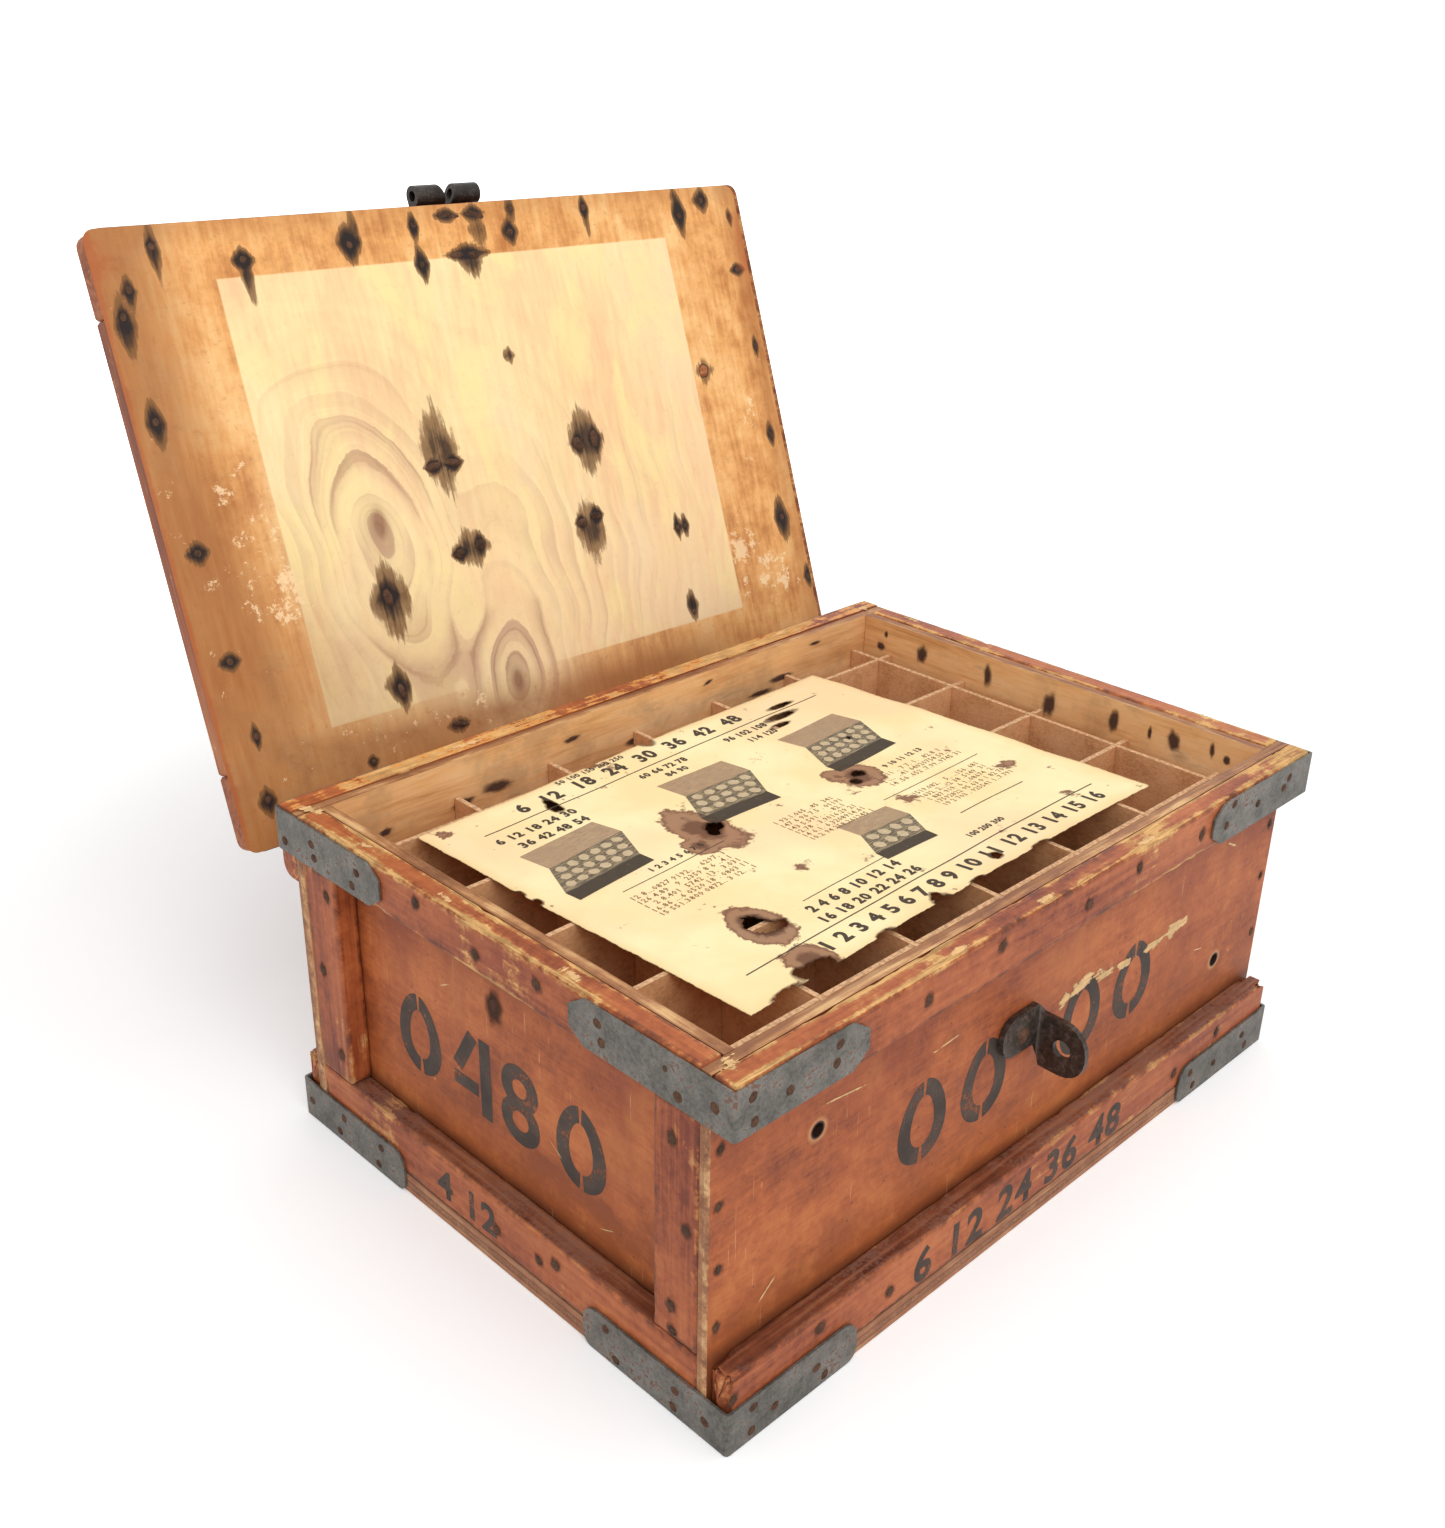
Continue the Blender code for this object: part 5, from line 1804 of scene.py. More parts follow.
class Finish(Protocol):
    """Anything that makes a material."""

    def material(self) -> Material:
        """The material."""


@dataclass
class Carcass:
    """Crate walls, rails, posts and base, with their finishes."""

    posts: tuple[str, ...] = (
        "left_front_post", "left_back_post", "right_front_post", "right_back_post",
    )
    drilled: Rows = ((-0.1349, 0.1097), (0.1495, 0.0589))

    def build(self) -> None:
        """Dress every board."""
        top_x = StainedWood("top_rail_stain_x", Axis.X, Upper.RUBBED).material()
        top_y = StainedWood("top_rail_stain_y", Axis.Y, Upper.RUBBED, rub=0.2).material()
        dull = (0.64, 0.32, 0.125)
        foot_x = StainedWood(
            "foot_rail_stain_x", Axis.X, Upper.DUSTY, edging=0.28, worn=dull
        ).material()
        foot_y = StainedWood(
            "foot_rail_stain_y", Axis.Y, Upper.DUSTY, edging=0.18, worn=dull
        ).material()
        upright = StainedWood("post_stain", Axis.Z, edging=0.18, worn=dull).material()
        back = StainedWood(
            "back_rail_stain", Axis.X, Upper.RUBBED, rub=0.42, thin=(0.86, 0.4, 0.1)
        ).material()
        WornBoard("front_top_rail", Axis.X, seed=1.0).build(top_x)
        WornBoard("left_top_rail", Axis.Y, seed=5.0).build(top_y)
        WornBoard("right_top_rail", Axis.Y, seed=6.0).build(top_y)
        WornBoard("front_bottom_rail", Axis.X, seed=2.0, chew=0.0045).build(foot_x)
        WornBoard("back_bottom_rail", Axis.X, seed=3.0, chew=0.0035).build(foot_x)
        WornBoard("left_bottom_rail", Axis.Y, seed=7.0).build(foot_y)
        WornBoard("right_bottom_rail", Axis.Y, seed=8.0).build(foot_y)
        for number, node in enumerate(self.posts):
            WornBoard(node, Axis.Z, seed=9.0 + number, dent=0.0009).build(upright)
        dress(back, "back_top_rail")
        dress(BasePly("base_ply_finish").material(), "base_board")
        for side in Side:
            name = side.name.lower()
            holes = self.drilled if side is Side.FRONT else ()
            ply = StainedPly(f"{name}_ply_finish", side.axis(), (*side.value, 0), drilled=holes)
            dress(ply.material(), f"{name}_panel")
        board = Strawboard("divider_board").material()
        inner = [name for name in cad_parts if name.startswith(("upper_", "lower_"))]
        dress(board, *sorted(inner))
        flat = Strawboard("layer_board_finish", top=(0.69, 0.375, 0.19), fur=0.88)
        dress(flat.material(), "layer_board")


@dataclass
class Ironwork:
    """Corner irons, staple, hinges, hasp plate and handle."""

    def build(self) -> None:
        """Dress the irons and the dark hardware."""
        corner = OldIron("corner_iron_skin").material()
        nodes = [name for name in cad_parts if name.startswith(("top_iron", "low_iron"))]
        dress(corner, *sorted(nodes))
        tones = ((0.028, 0.02, 0.016), (0.066, 0.048, 0.038), (0.15, 0.118, 0.096))
        dark = OldIron(
            "dark_iron_skin", tones, (0.085, 0.042, 0.026), rusting=0.25, metal=0.6, rough=0.42
        ).material()
        dress(dark, "staple", "lid_handle")
        tones = ((0.016, 0.012, 0.01), (0.034, 0.026, 0.022), (0.085, 0.068, 0.056))
        black = OldIron("hasp_iron_skin", tones, (0.07, 0.036, 0.024), rusting=0.2, metal=0.5)
        dress(black.material(), "hasp_plate")
        dress(dark, "left_hinge_leaf", "right_hinge_leaf", "left_hinge_strap", "right_hinge_strap")


@dataclass
class Fixings:
    """Nail heads on every side of the crate, with the stains round them."""

    head: float = 0.0022
    rise: float = 0.0006
    iron_lift: float = 0.0014
    staple_plate: float = 0.1293
    inner_end: float = 0.1729
    inner_back_face: float = 0.1214
    front: Rows = (
        (-90, 149.4), (-46.6, 154), (11, 149), (46.9, 152.3), (96.3, 150),
        (-186.0, 24.8, 0.9), (-140.4, 27.9), (-99.8, 19.4), (106, 20), (142.5, 26),
    )
    front_irons: Rows = (
        (-182, 154.8), (-180.8, 144.4), (-164, 148.6), (-139.6, 155),
        (-141, 148), (119.4, 157), (115, 148), (141.9, 149.8),
        (164.8, 150), (169.4, 153.8), (-176.5, 15.4), (-177.5, 4.6),
        (-165.4, 8.1), (-142.8, 10.6), (-138, 4.2), (120, 14), (124, 5),
        (142, 9), (168, 13), (173, 5),
    )
    left: Rows = (
        (-38, 154.2), (-0.5, 148), (36.5, 152), (108, 124.5),
        (115, 88.8), (107.5, 50), (108.5, 38.5), (-104.5, 128.8),
        (-113, 88.8), (-104.5, 48.8), (42, 25.5), (4.5, 19.5), (31.5, 21, 0.9),
    )
    left_irons: Rows = (
        (-132, 145.3, 1.1), (-110.3, 151.8), (-109, 145.8), (-77, 151.8),
        (-81, 144.5), (71.4, 153.5), (73.3, 146.5), (105.7, 152.8, 0.6),
        (112, 144.5, 1.1), (129.3, 149.5, 1.1), (-132.3, 9.5), (-105.5, 14.3),
        (-110, 5), (-76.5, 14.7), (-79.5, 4.2), (72.8, 15), (78.5, 3.7),
        (111.3, 12.5), (110.5, 4.2), (127, 9),
    )
    front_panel: Rows = (
        (-184, 128, 0.8), (-184.5, 104, 0.8), (-184, 76, 0.8), (-184.5, 50, 0.8),
        (184, 120, 0.8), (184, 92, 0.8), (184.5, 60, 0.8),
    )
    inner_right: Rows = (
        (105.7, 153.3, 2, 3, 0), (108.8, 145.5, 4, 4, 0), (80, 149, 5, 8, -0.4),
        (35.5, 150.2, 4, 9, 0), (-4, 146, 6, 9, 0), (-42.3, 149.5, 4, 9, 0),
        (-76.5, 150, 5, 8, 0.3), (-97, 152, 2, 6, 0), (-105, 149.5, 3, 3, 0), (-63, 150, 2, 5, 0),
    )
    inner_back: Rows = (
        (-40, 150, 7, 2.2, 0), (50.5, 154, 5, 1.8, 0.2), (131.5, 154.5, 6, 1.6, 0),
        (-105, 138, 10, 3, 0.1), (-85, 140, 13, 4, -0.1), (0, 137, 9, 3, 0),
        (105, 141.5, 12, 3, 0), (-147, 138, 5, 3, 0.3), (90, 137, 14, 2, 0),
    )

    def build(self) -> None:
        """Lay all the nails and their stains."""
        iron = NailIron("nail_heads_iron").material()
        halo = RustHalo("nail_stain", strength=0.75).material()
        for side in Side:
            name, plane = side.name.lower(), side.rail()
            wood, irons = self.front, self.front_irons
            if side.axis() is Axis.Y:
                wood, irons = self.left, self.left_irons
            raised = side.plane(RAIL_OUT[side.axis()] + self.iron_lift)
            self.heads(f"{name}_nails", plane, wood, iron)
            self.heads(f"{name}_iron_nails", raised, irons, iron)
            self.halos(f"{name}_nail_stains", plane, wood, halo)
        self.heads("front_panel_nails", Side.FRONT.panel(), self.front_panel, iron)
        self.halos("front_panel_nail_stains", Side.FRONT.panel(), self.front_panel, halo)
        rivet = metres([(-13.7, 93.8, 3.6, 3.6, 0.0)])
        spots(Side.FRONT.plane(self.staple_plate), rivet, rise=0.0016).make("staple_rivet", iron)
        upright = RustHalo("inner_stain", strength=0.92, stretch=(420, 420, 50)).material()
        level = RustHalo("inner_stain_level", strength=0.92, stretch=(50, 420, 420)).material()
        mirrored = [(-across, *rest) for across, *rest in self.inner_right]
        for name, plane, rows, stain in (
            ("right_inner_stains", Side.LEFT.plane(-self.inner_end), mirrored, upright),
            ("back_inner_stains", Side.FRONT.plane(-self.inner_back_face), self.inner_back, level),
        ):
            spots(plane, metres(rows), spokes=18).make(name, stain)

    def heads(self, name: str, plane: Plane, places: Rows, iron: Material) -> None:
        """Nail heads on a plane.

        Args:
            name: the piece.
            plane: what they stick out of.
            places: across and up in millimetres, and scale of each where it isn't 1.
            iron: their finish.
        """
        x, z, scale = np.array([(*place, 1.0)[:3] for place in places]).T
        size = scale * self.head
        rows = np.stack([x * MM, z * MM, size, size, x], axis=-1)
        spots(plane, rows, rise=self.rise, spokes=12).make(name, iron)

    def halos(self, name: str, plane: Plane, places: Rows, stain: Material) -> None:
        """Stains a few times as wide as the heads.

        Args:
            name: the piece.
            plane: what they soak into.
            places: of the heads.
            stain: their finish.
        """
        x, z, scale = np.array([(*place, 1.0)[:3] for place in places]).T
        size = scale * self.head * 2.0
        rows = np.stack([x * MM, z * MM, size, size * 1.2, size * 0], axis=-1)
        spots(plane, rows, spokes=16).make(name, stain)


@dataclass
class Scars:
    """Places where the stain is knocked or rubbed off to pale wood."""

    gouge: Rows = (
        (20, 95, 8, 6, 0.3), (31, 97, 15, 7.5, 0.15), (48, 95, 15, 6.0, -0.15),
        (66, 93, 15, 4.0, -0.08), (88, 93, 17, 5.0, 0.02), (104, 94, 15, 7.5, 0.1),
        (113, 95, 8, 5.0, 0.2), (-60, 112, 16, 0.9, 0.08), (-120, 118, 20, 0.8, -0.12),
        (150, 121, 12, 0.9, -0.5), (-158, 52, 9, 0.8, 0.7), (133, 72, 11, 0.8, -0.25),
    )
    rims: Rows = (
        (-17, -134, 15, 3.8, 0.0), (55, -134, 11, 3.4, 0.0), (-70, -134.5, 10, 2.6, 0.0),
        (152, -131, 13, 5.0, 0.1), (-181, -127, 9, 6.5, 0.6), (-184, -52, 3.6, 13, 0.0),
        (-184.5, 24, 3.0, 11, 0.0), (-183, 78, 3.2, 12, 0.05), (-182, 122, 6, 9, 0.3),
        (185.5, 98, 4.5, 12, 0.0), (186, -86, 4.0, 13, 0.0), (180, 128, 8, 6, 0.4),
        (22, 132, 6.5, 2.6, 0.2), (-92, 131, 17, 2.6, 0.0), (118, 133, 14, 2.6, 0.0),
    )
    ends: Rows = ((-38, 112, 15, 0.8, 0.5), (30, 70, 13, 0.8, -0.6), (60, 48, 9, 0.8, 0.4))
    knot: Rows = ((-5, 117, 8.0, 12.0, 0.1), (-5.5, 118, 5, 8, 0.2))
    top: float = 0.161
    rim_lift: float = 0.00005

    def build(self) -> None:
        """Lay the scars on the front, on the rims and on the ends."""
        torn = ChippedPaint("gouged_wood", (0.8, 0.52, 0.25), reach=0.12, ragged=1.7)
        chipped = ChippedPaint("chipped_rims", (0.8, 0.5, 0.23), reach=0.02, ragged=2.6)
        along_y = ChippedPaint("bared_wood_y", axis=Axis.Y)
        knot = RustHalo("knot_wood", (0.055, 0.022, 0.012), 0.9, (300.0, 300.0, 120.0))
        top = Plane((0, 0, self.top), (1, 0, 0), (0, 1, 0))
        left = Side.LEFT.panel()
        self.lay("front_scars", Side.FRONT.panel(), self.gouge, torn)
        self.lay("rim_scars", top, self.rims, chipped, self.rim_lift)
        self.lay("left_end_scars", left, self.ends, along_y)
        self.lay("left_end_knot", left, self.knot, knot)

    def lay(
        self, name: str, face: Plane, rows: Rows, wood: Finish, lift: float = SCAR_LIFT
    ) -> None:
        """Lay flat patches on a face, from a table in millimetres."""
        spots(face, metres(rows), lift=lift, spokes=20).make(name, wood.material())


@dataclass
class Stencils:
    """Generic stencil marks: eggs and plain numbers."""

    wide: float = 0.0145
    tall: float = 0.0195
    # Strokes of the bridged 4: middle, half sizes in millimetres, and slant.
    four: Rows = (
        (-13.0, 78.0, 3.6, 19.0, 0.0), (-26.2, 70.5, 8.2, 3.3, 0.0),
        (-26.2, 86.2, 11.2, 3.3, 1.048),
    )

    def build(self) -> None:
        """Paint all four sides alike."""
        ink = StencilInk("stencil_ink").material()
        for side in Side:
            name, panel = side.name.lower(), side.panel()
            long = side.axis() is Axis.X
            level, stroke = (0.081, 0.0074) if long else (0.078, 0.0076)
            eggs = [
                egg_ring(panel, (x * MM, level), self.wide, self.tall, stroke)
                for x in ((-73, -34, 34, 74) if long else (-58, 46))
            ]
            join(eggs).make(f"{name}_stencil_eggs", ink)
            if not long:
                eight = numerals(panel, "8", (0.009, 0.078), 0.038, bold=0.02)
                four = bars(panel, metres(self.four))
                join([four, eight]).make(f"{name}_stencil_count", ink)
            text, centre, tall = ("4 12", (-0.016, 0.0215), 0.015)
            if long:
                text, centre, tall = ("6 12 24 36 48", (-0.012, 0.0205), 0.0175)
            row = numerals(side.rail(), text, centre, tall, bold=0.034)
            row.make(f"{name}_stencil_numbers", ink)


@dataclass
class Leaflet:
    """Printed sheet lying on the dividers, stained and torn."""

    corners: Rows = ((-0.1375, -0.0945), (0.1345, -0.0885), (0.118, 0.1105), (-0.146, 0.0995))
    wide: float = 0.268
    deep: float = 0.197
    level: float = 0.1428
    wave: float = 0.0006
    lift: float = 0.003
    thick: float = 0.00022
    # Holes: u, v, half width, half height in millimetres from the near left.
    holes: Rows = (
        (97, 112, 5, 4), (93, 108, 3, 3), (186, 103, 4, 3), (178, 98, 3, 3), (48, 42, 5, 8),
        (52, 36, 6, 4), (62, 176, 3, 5), (64, 181, 2, 5), (212, 172, 11, 2.6), (222, 181, 9, 2),
        (203, 165, 7, 1.8), (40, 3, 8, 5), (33, 5, 4, 4), (112, 0, 5, 5), (113, 5, 2, 3),
        (158, 8, 3, 3), (0, 128, 2, 3), (1, 118, 2, 3), (103, 198, 3, 4), (140, 197, 4, 5),
        (76, 0, 5, 2.5), (135, 0, 5, 2), (180, 0, 6, 2), (20, 0, 8, 3), (214, 131, 2.2, 2.2),
    )
    # Stains: place and half sizes as above, then strength.
    stains: Rows = (
        (92, 113, 14, 25, 1.25), (80, 104, 9, 10, 1.0), (184, 101, 13, 15, 1.15),
        (48, 40, 13, 19, 1.25), (42, 8, 11, 15, 1.15), (176, 108, 8, 9, 0.9),
        (178, 70, 8, 12, 0.42), (243, 58, 9, 7, 0.36), (95, 60, 7, 6, 0.4),
        (232, 20, 8, 8, 0.3), (10, 190, 6, 5, 0.4), (108, 190, 8, 7, 0.32),
    )
    # Pictures: middle, half width and depth of the tray, slant, eggs each way.
    pictures: Rows = (
        (40, 126.5, 22, 10, 0.05, 6, 3), (126, 131, 21, 10.5, -0.04, 5, 3),
        (208, 129, 22, 10, 0.03, 6, 3), (146, 52, 16, 8, -0.06, 4, 2),
    )

    def at(self, across: Array, high: Array, rise: Array) -> Array:
        """World points of the sheet: a bilinear patch of its four corners.

        Its height is the level, a slow double wave, and a lift of the near
        edge as the cube of the distance from the far one.

        Args:
            across: u from the near left corner, in metres of sheet.
            high: v away from the near edge.
            rise: height over the paper.

        Returns:
            The points.
        """
        u, v = across / self.wide, high / self.deep
        a, b, c, d = (np.array(corner) for corner in self.corners)
        u_, v_ = u[..., None], v[..., None]
        flat = a * (1 - u_) * (1 - v_) + b * u_ * (1 - v_) + c * u_ * v_ + d * (1 - u_) * v_
        slow = np.sin(math.tau * (1.5 * u + 0.4 * v)) * np.cos(math.tau * 0.9 * v)
        wave = self.wave * (1 + slow)
        near = np.clip(1 - v, 0, 1.2) ** 3 * np.sin(math.pi * np.clip(u, 0, 1)) ** 2
        crease = 0.0005 * np.sin(math.tau * (4.1 * v + 0.6 * u)) * np.sin(math.tau * 2.3 * u) ** 2
        level = self.level + wave + self.lift * near + crease * 0.6 + rise
        return np.concatenate([flat, level[..., None]], axis=-1)

    def fields(self, u: Array, v: Array) -> dict[str, Array]:
        """Hole and stain fields at places of the sheet, in millimetres.

        Each hole or stain gives one less the offset over its half sizes; the
        largest counts.

        Args:
            u: places across.
            v: places up.

        Returns:
            The fields by name.
        """
        hole = np.full_like(u, -3.0)
        for cu, cv, wu, wv in self.holes:
            hole = np.maximum(hole, 1 - np.hypot((u - cu) / wu, (v - cv) / wv))
        stain = np.zeros_like(u)
        for cu, cv, wu, wv, strength in self.stains:
            reach = np.hypot((u - cu) / wu, (v - cv) / wv)
            stain = np.maximum(stain, strength * np.clip(1.1 - reach, 0, 1))
        wide, deep = self.wide / MM, self.deep / MM
        rim = np.minimum(np.minimum(u, wide - u), np.minimum(v, deep - v))
        return {"hole": hole, "stain": np.clip(stain, 0, 1), "rim": rim}

    def carry(self, surface: Surface) -> Surface:
        """The same piece of print with the sheet's own fields."""
        fields = self.fields(*(surface.flat.T / MM)) | surface.fields
        return Surface(surface.points, surface.faces, fields, surface.flat)

    def build(self) -> None:
        """Make the sheet and its print."""
        paper = Paper("leaflet_paper", ink=False).material()
        rows, columns = 118, 160
        v, u = np.meshgrid(
            np.linspace(0, self.deep, rows), np.linspace(0, self.wide, columns), indexing="ij"
        )
        points = self.at(u, v, np.zeros(u.shape)).reshape(-1, 3)
        flat = np.stack([u.ravel(), v.ravel()], axis=-1)
        numbers = self.fields(u.ravel() / MM, v.ravel() / MM)
        sheet = Surface(points, [grid_faces(rows, columns)], numbers, flat).make(
            "printed_leaflet", paper, Body.LEAFLET
        )
        wall = sheet.modifiers.new("paper", "SOLIDIFY")
        wall.thickness = self.thick
        wall.offset = -1.0
        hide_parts("leaflet")
        covers, grounds, sides, eggs = self.print_pictures()
        layers = (
            ("leaflet_covers", covers, (0.33, 0.225, 0.15), 0.8, 0.3),
            ("leaflet_grounds", grounds, (0.125, 0.1, 0.076), 0.86, 0.4),
            ("leaflet_eggs", eggs, (0.56, 0.44, 0.28), 0.85, 0.15),
            ("leaflet_print", self.print_dark() + sides, (0.06, 0.046, 0.034), 0.92, 0.0),
            ("leaflet_tables", self.print_tables(), (0.2, 0.105, 0.055), 0.75, 0.0),
        )
        prints = [
            self.carry(join(parts)).make(
                name, Paper(name + "_ink", True, colour, cover, hatch).material(), Body.LEAFLET
            )
            for name, parts, colour, cover, hatch in layers
        ]

    def print_dark(self) -> list[Surface]:
        """Rules and headings.

        Returns:
            Their surfaces.
        """
        rules = [(134, 177, 112, 0.35, 0.0), (134, 19.5, 116, 0.35, 0.0), (60, 99, 30, 0.25, 0.0)]
        rules += [(206, 76, 36, 0.25, 0.0), (206, 43, 24, 0.3, 0.0), (100, 41, 26, 0.25, 0.0)]
        ink = [self.print_bars(rules, 24)]
        headings = (
            ("6  12  18  24  30  36  42  48", 122, 186, 8.8, 5, 0.045),
            ("1 2 3 4 5 6 7 8 9 10 11 12 13 14 15 16", 148, 11.2, 8.6, 5, 0.045),
            ("50 100 150 200 250", 100, 193.5, 3.6, 2, 0.04),
            ("6 12 18 24 30", 44, 168, 5.8), ("36 42 48 54", 46, 158.5, 5.8),
            ("60 66 72 78", 126, 171, 4.6), ("84 90", 128, 164, 4.4),
            ("96 102 108", 184, 171, 4.8), ("114 120", 188, 163, 4.4),
            ("1 2 3 4 5 6 7 8", 66, 104, 3.8), ("9 10 11 12 13", 214, 99, 3.6),
            ("2 4 6 8 10 12 14", 98, 34.5, 6.0), ("16 18 20 22 24 26", 98, 25.5, 6.0),
            ("100 200 300", 178, 27, 3.6),
        )
        for text, u, v, tall, *style in headings:
            curves, bold = style or (2, 0.05)
            ink.append(numerals(self, text, (u * MM, v * MM), tall * MM, curves, bold))
        return ink

    def print_tables(self) -> list[Surface]:
        """Four small tables of numbers drawn by a seeded generator.

        Returns:
            Their surfaces.
        """
        tables = ((56, 84, 5, 28), (138, 84, 6, 20), (212, 88, 3, 26), (212, 62, 5, 26))
        rng = np.random.default_rng(11)
        ink = []
        for u, v, rows, columns in tables:
            digits = rng.choice(list("0123456789....    "), (rows, columns))
            digits[:, (0, -1)] = "1"
            lines = "\n".join("".join(row) for row in digits)
            tall = rows * 4.0 * MM
            ink.append(numerals(self, lines, (u * MM, v * MM), tall, curves=1, bold=0.02))
        return ink

    def print_pictures(self) -> tuple[list[Surface], ...]:
        """Four small pictures of open trays of eggs.

        A tray's ground is a four-sided figure that leans to the right. Its
        cover stands on the far edge, its dark side hangs from the near one,
        and rows of eggs fill it, each row moved by the same lean.

        Returns:
            Covers, grounds, sides and eggs.
        """
        lean, tilt = 0.5, -0.12
        covers, grounds, sides, eggs = [], [], [], []
        for u, v, wide, deep, slant, across, up in self.pictures:
            right = np.array([math.cos(slant), math.sin(slant)])
            away = np.array([-math.sin(slant), math.cos(slant)])
            middle = np.array([u, v])
            cover, side = 0.8 * deep, 0.42 * deep
            place = middle + right * (lean * deep + tilt * cover) + away * (deep + cover)
            covers.append((*place, wide, cover, slant))
            grounds.append((u, v, wide, deep, slant))
            place = middle - right * lean * deep - away * (deep + side)
            sides.append((*place, wide, side, slant))
            step_u, step_v = 1.84 * wide / across, 1.76 * deep / up
            i, j = np.meshgrid(np.arange(across), np.arange(up))
            y = (j.ravel() - (up - 1) / 2) * step_v
            x = (i.ravel() - (across - 1) / 2) * step_u + lean * y
            spread = middle + x[:, None] * right + y[:, None] * away
            size = np.broadcast_to([step_u * 0.36, step_v * 0.4, slant], (len(x), 3))
            eggs.append(np.concatenate([spread, size], axis=1))
        return (
            [self.print_bars(covers, 14, 0.00006, 8, tilt)],
            [self.print_bars(grounds, 16, 0.00009, 8, lean)],
            [self.print_bars(sides, 14, 0.00012, 5)],
            [spots(self, metres(np.concatenate(eggs)), lift=0.00016, spokes=16)],
        )

    def print_bars(
        self,
        rows: list,
        steps: int,
        lift: float = 0.00008,
        lanes: int = 1,
        lean: float = 0.0,
    ) -> Surface:
        """Bars of the print from a table in millimetres."""
        return bars(self, metres(rows), lift, steps, lanes, lean)


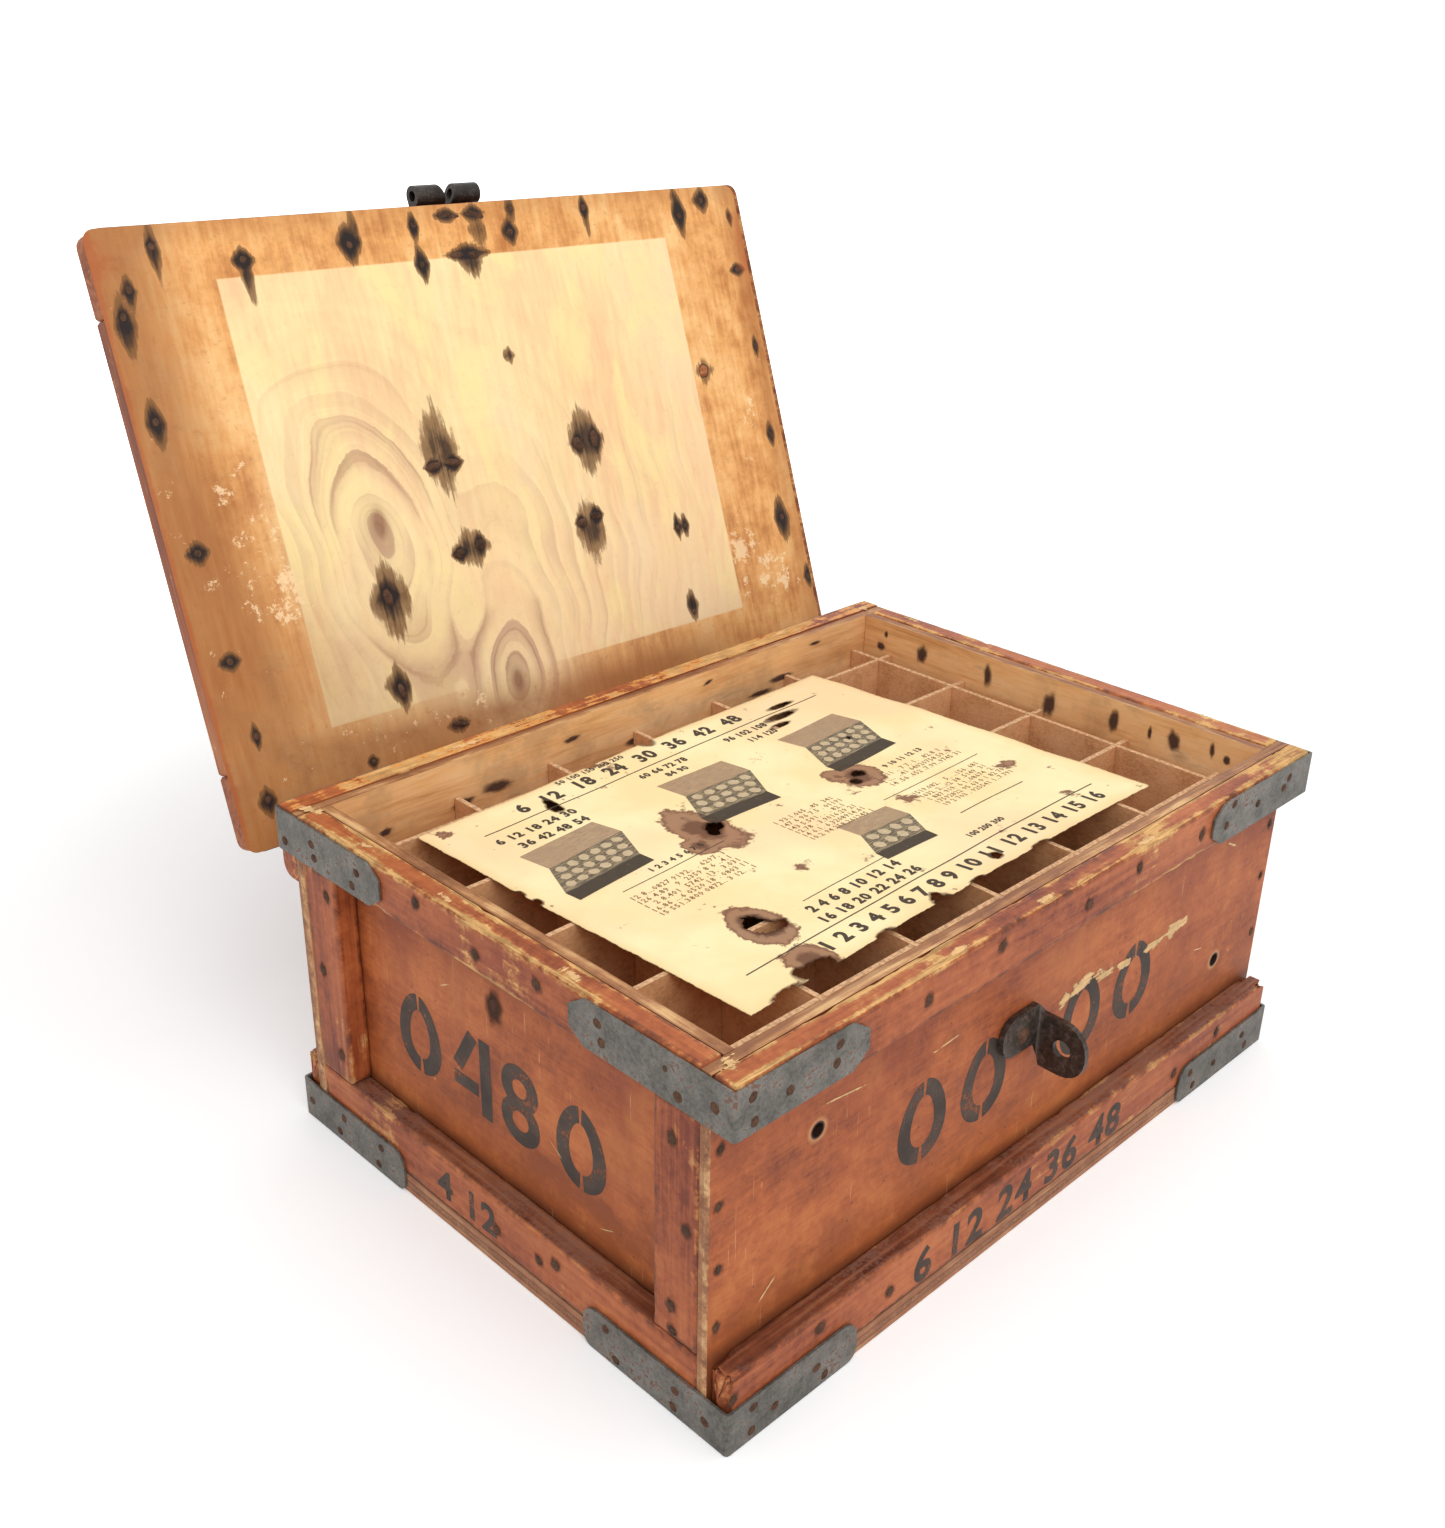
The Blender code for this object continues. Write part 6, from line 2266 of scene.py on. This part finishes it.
@dataclass
class Studio:
    """Pale floor, soft lamps and the photograph's camera."""

    place: Point = (-0.4983, -0.437, 0.4798)
    azimuth: float = math.radians(-45.106)
    elevation: float = math.radians(25.41)
    roll: float = math.radians(1.092)
    lens: float = 1653.84 * 36.0 / 1528.0
    key_power: float = 14.5
    top_power: float = 5.0
    sky: float = 0.72
    floor_glow: float = 0.16
    whitening: Pair = (1.15, 0.42)

    def build(self) -> None:
        """Set the stage."""
        self.build_camera()
        self.build_floor()
        self.build_lamps()
        self.build_sky()

    def build_camera(self) -> None:
        """Camera whose back points along the view's azimuth and elevation."""
        level, high = math.cos(self.elevation), math.sin(self.elevation)
        back = Vector((math.sin(self.azimuth) * level, -math.cos(self.azimuth) * level, high))
        side = Vector((0, 0, 1)).cross(back).normalized()
        up = back.cross(side)
        turn = Matrix((side, up, back)).transposed() @ Matrix.Rotation(self.roll, 3, "Z")
        data = bpy.data.cameras.new("camera")
        data.lens = self.lens
        data.sensor_width = 36.0
        data.sensor_fit = "AUTO"
        data.clip_start = 0.01
        camera = bpy.data.objects.new("camera", data)
        camera.matrix_world = Matrix.Translation(self.place) @ turn.to_4x4()
        show(camera)
        bpy.context.scene.camera = camera

    def build_floor(self) -> None:
        """Floor and backdrop: a flat run that turns up in a quarter circle."""
        bench = Bench("studio_floor")
        ray = bench.add("LightPath")
        seen = Value(bench, ray.outputs["Is Camera Ray"]).larger(
            Value(bench, ray.outputs["Is Glossy Ray"])
        )
        seen = seen.larger(Value(bench, ray.outputs["Is Transmission Ray"]))
        grain = bench.noise(3.0)
        colour = bench.blend(grain, (0.93, 0.93, 0.93), (0.95, 0.95, 0.95))
        bench.finish(colour, 0.9, specular=0.0)
        far, near = self.whitening
        across, along, high = bench.parts(bench.where)
        away = (across * across + along * along) ** 0.5 + high
        glow = seen * (away.ramp(near, far) * 0.9 + self.floor_glow)
        bench.feed(bench.shader.inputs["Emission Color"], bench.joined(glow, glow, glow))
        bench.shader.inputs["Emission Strength"].default_value = 1.0
        angle = np.linspace(0, math.pi / 2, 24)
        run = np.concatenate([[-6.0, -1.0, 0.0, 2.0], 4.0 + 2.0 * np.sin(angle), [6.0]])
        rise = np.concatenate([[0.0, 0.0, 0.0, 0.0], 2.0 - 2.0 * np.cos(angle), [7.0]])
        across = np.linspace(-9, 9, 20)
        run_grid, across_grid = np.meshgrid(run, across, indexing="ij")
        rise_grid = np.broadcast_to(rise[:, None], run_grid.shape)
        way, side = np.array([0.7071, 0.7071]), np.array([0.7071, -0.7071])
        flat = run_grid[..., None] * way + across_grid[..., None] * side
        points = np.concatenate([flat, rise_grid[..., None]], axis=-1).reshape(-1, 3)
        faces = grid_faces(len(run), len(across))[:, ::-1]
        mesh = bpy.data.meshes.new("floor")
        mesh.from_pydata(points.tolist(), [], faces.tolist())
        mesh.materials.append(bench.material)
        mesh.polygons.foreach_set("use_smooth", np.full(len(faces), True))
        floor = bpy.data.objects.new("floor", mesh)
        show(floor)

    def lamp(self, name: str, place: Point, size: float, power: float) -> None:
        """Square soft lamp aimed at the crate.

        Args:
            name: the lamp's.
            place: where it hangs.
            size: its width.
            power: in watts.
        """
        data = bpy.data.lights.new(name, "AREA")
        data.shape = "SQUARE"
        data.size = size
        data.energy = power
        item = bpy.data.objects.new(name, data)
        item.location = place
        way = Vector((0.0, 0.0, 0.1)) - Vector(place)
        item.rotation_euler = way.to_track_quat("-Z", "Y").to_euler()
        show(item)

    def build_lamps(self) -> None:
        """Key from above the camera, and one over the open crate."""
        self.lamp("key", (-0.7, -1.2, 1.6), 1.3, self.key_power)
        self.lamp("top", (0.15, -0.25, 1.6), 1.2, self.top_power)

    def build_sky(self) -> None:
        """Even sky that the camera sees as white."""
        world = bpy.data.worlds.new("sky")
        world.use_nodes = True
        tree = world.node_tree
        ray, seen, power = (
            tree.nodes.new("ShaderNode" + kind) for kind in ("LightPath", "Math", "MapRange")
        )
        seen.operation = "MAXIMUM"
        ground = tree.nodes["Background"].inputs
        for start, end in (
            (ray.outputs["Is Camera Ray"], seen.inputs[0]),
            (ray.outputs["Is Transmission Ray"], seen.inputs[1]),
            (seen.outputs[0], power.inputs["Value"]),
            (power.outputs[0], ground["Strength"]),
        ):
            tree.links.new(start, end)
        power.inputs["To Min"].default_value = self.sky
        power.inputs["To Max"].default_value = 1.0
        ground["Color"].default_value = (1.0, 1.0, 1.0, 1.0)
        bpy.context.scene.world = world
        bpy.context.scene.view_settings.view_transform = "Standard"


def main() -> None:
    """Build the crate's looks, the studio and the camera."""
    logging.basicConfig(level=logging.INFO, format="%(message)s")
    Studio().build()
    Carcass().build()
    Ironwork().build()
    lid = Lid()
    lid.build_veneer(LidVeneer("lid_veneer_finish").material())
    point_iron = NailIron("nail_points_iron").material()
    lid.build_points(point_iron)
    lid.build_plug(PlainStain("plug_wood", Axis.X).material(), point_iron)
    lid.dress_boards()
    Fixings().build()
    Scars().build()
    Stencils().build()
    Leaflet().build()


if __name__ == "__main__":
    main()
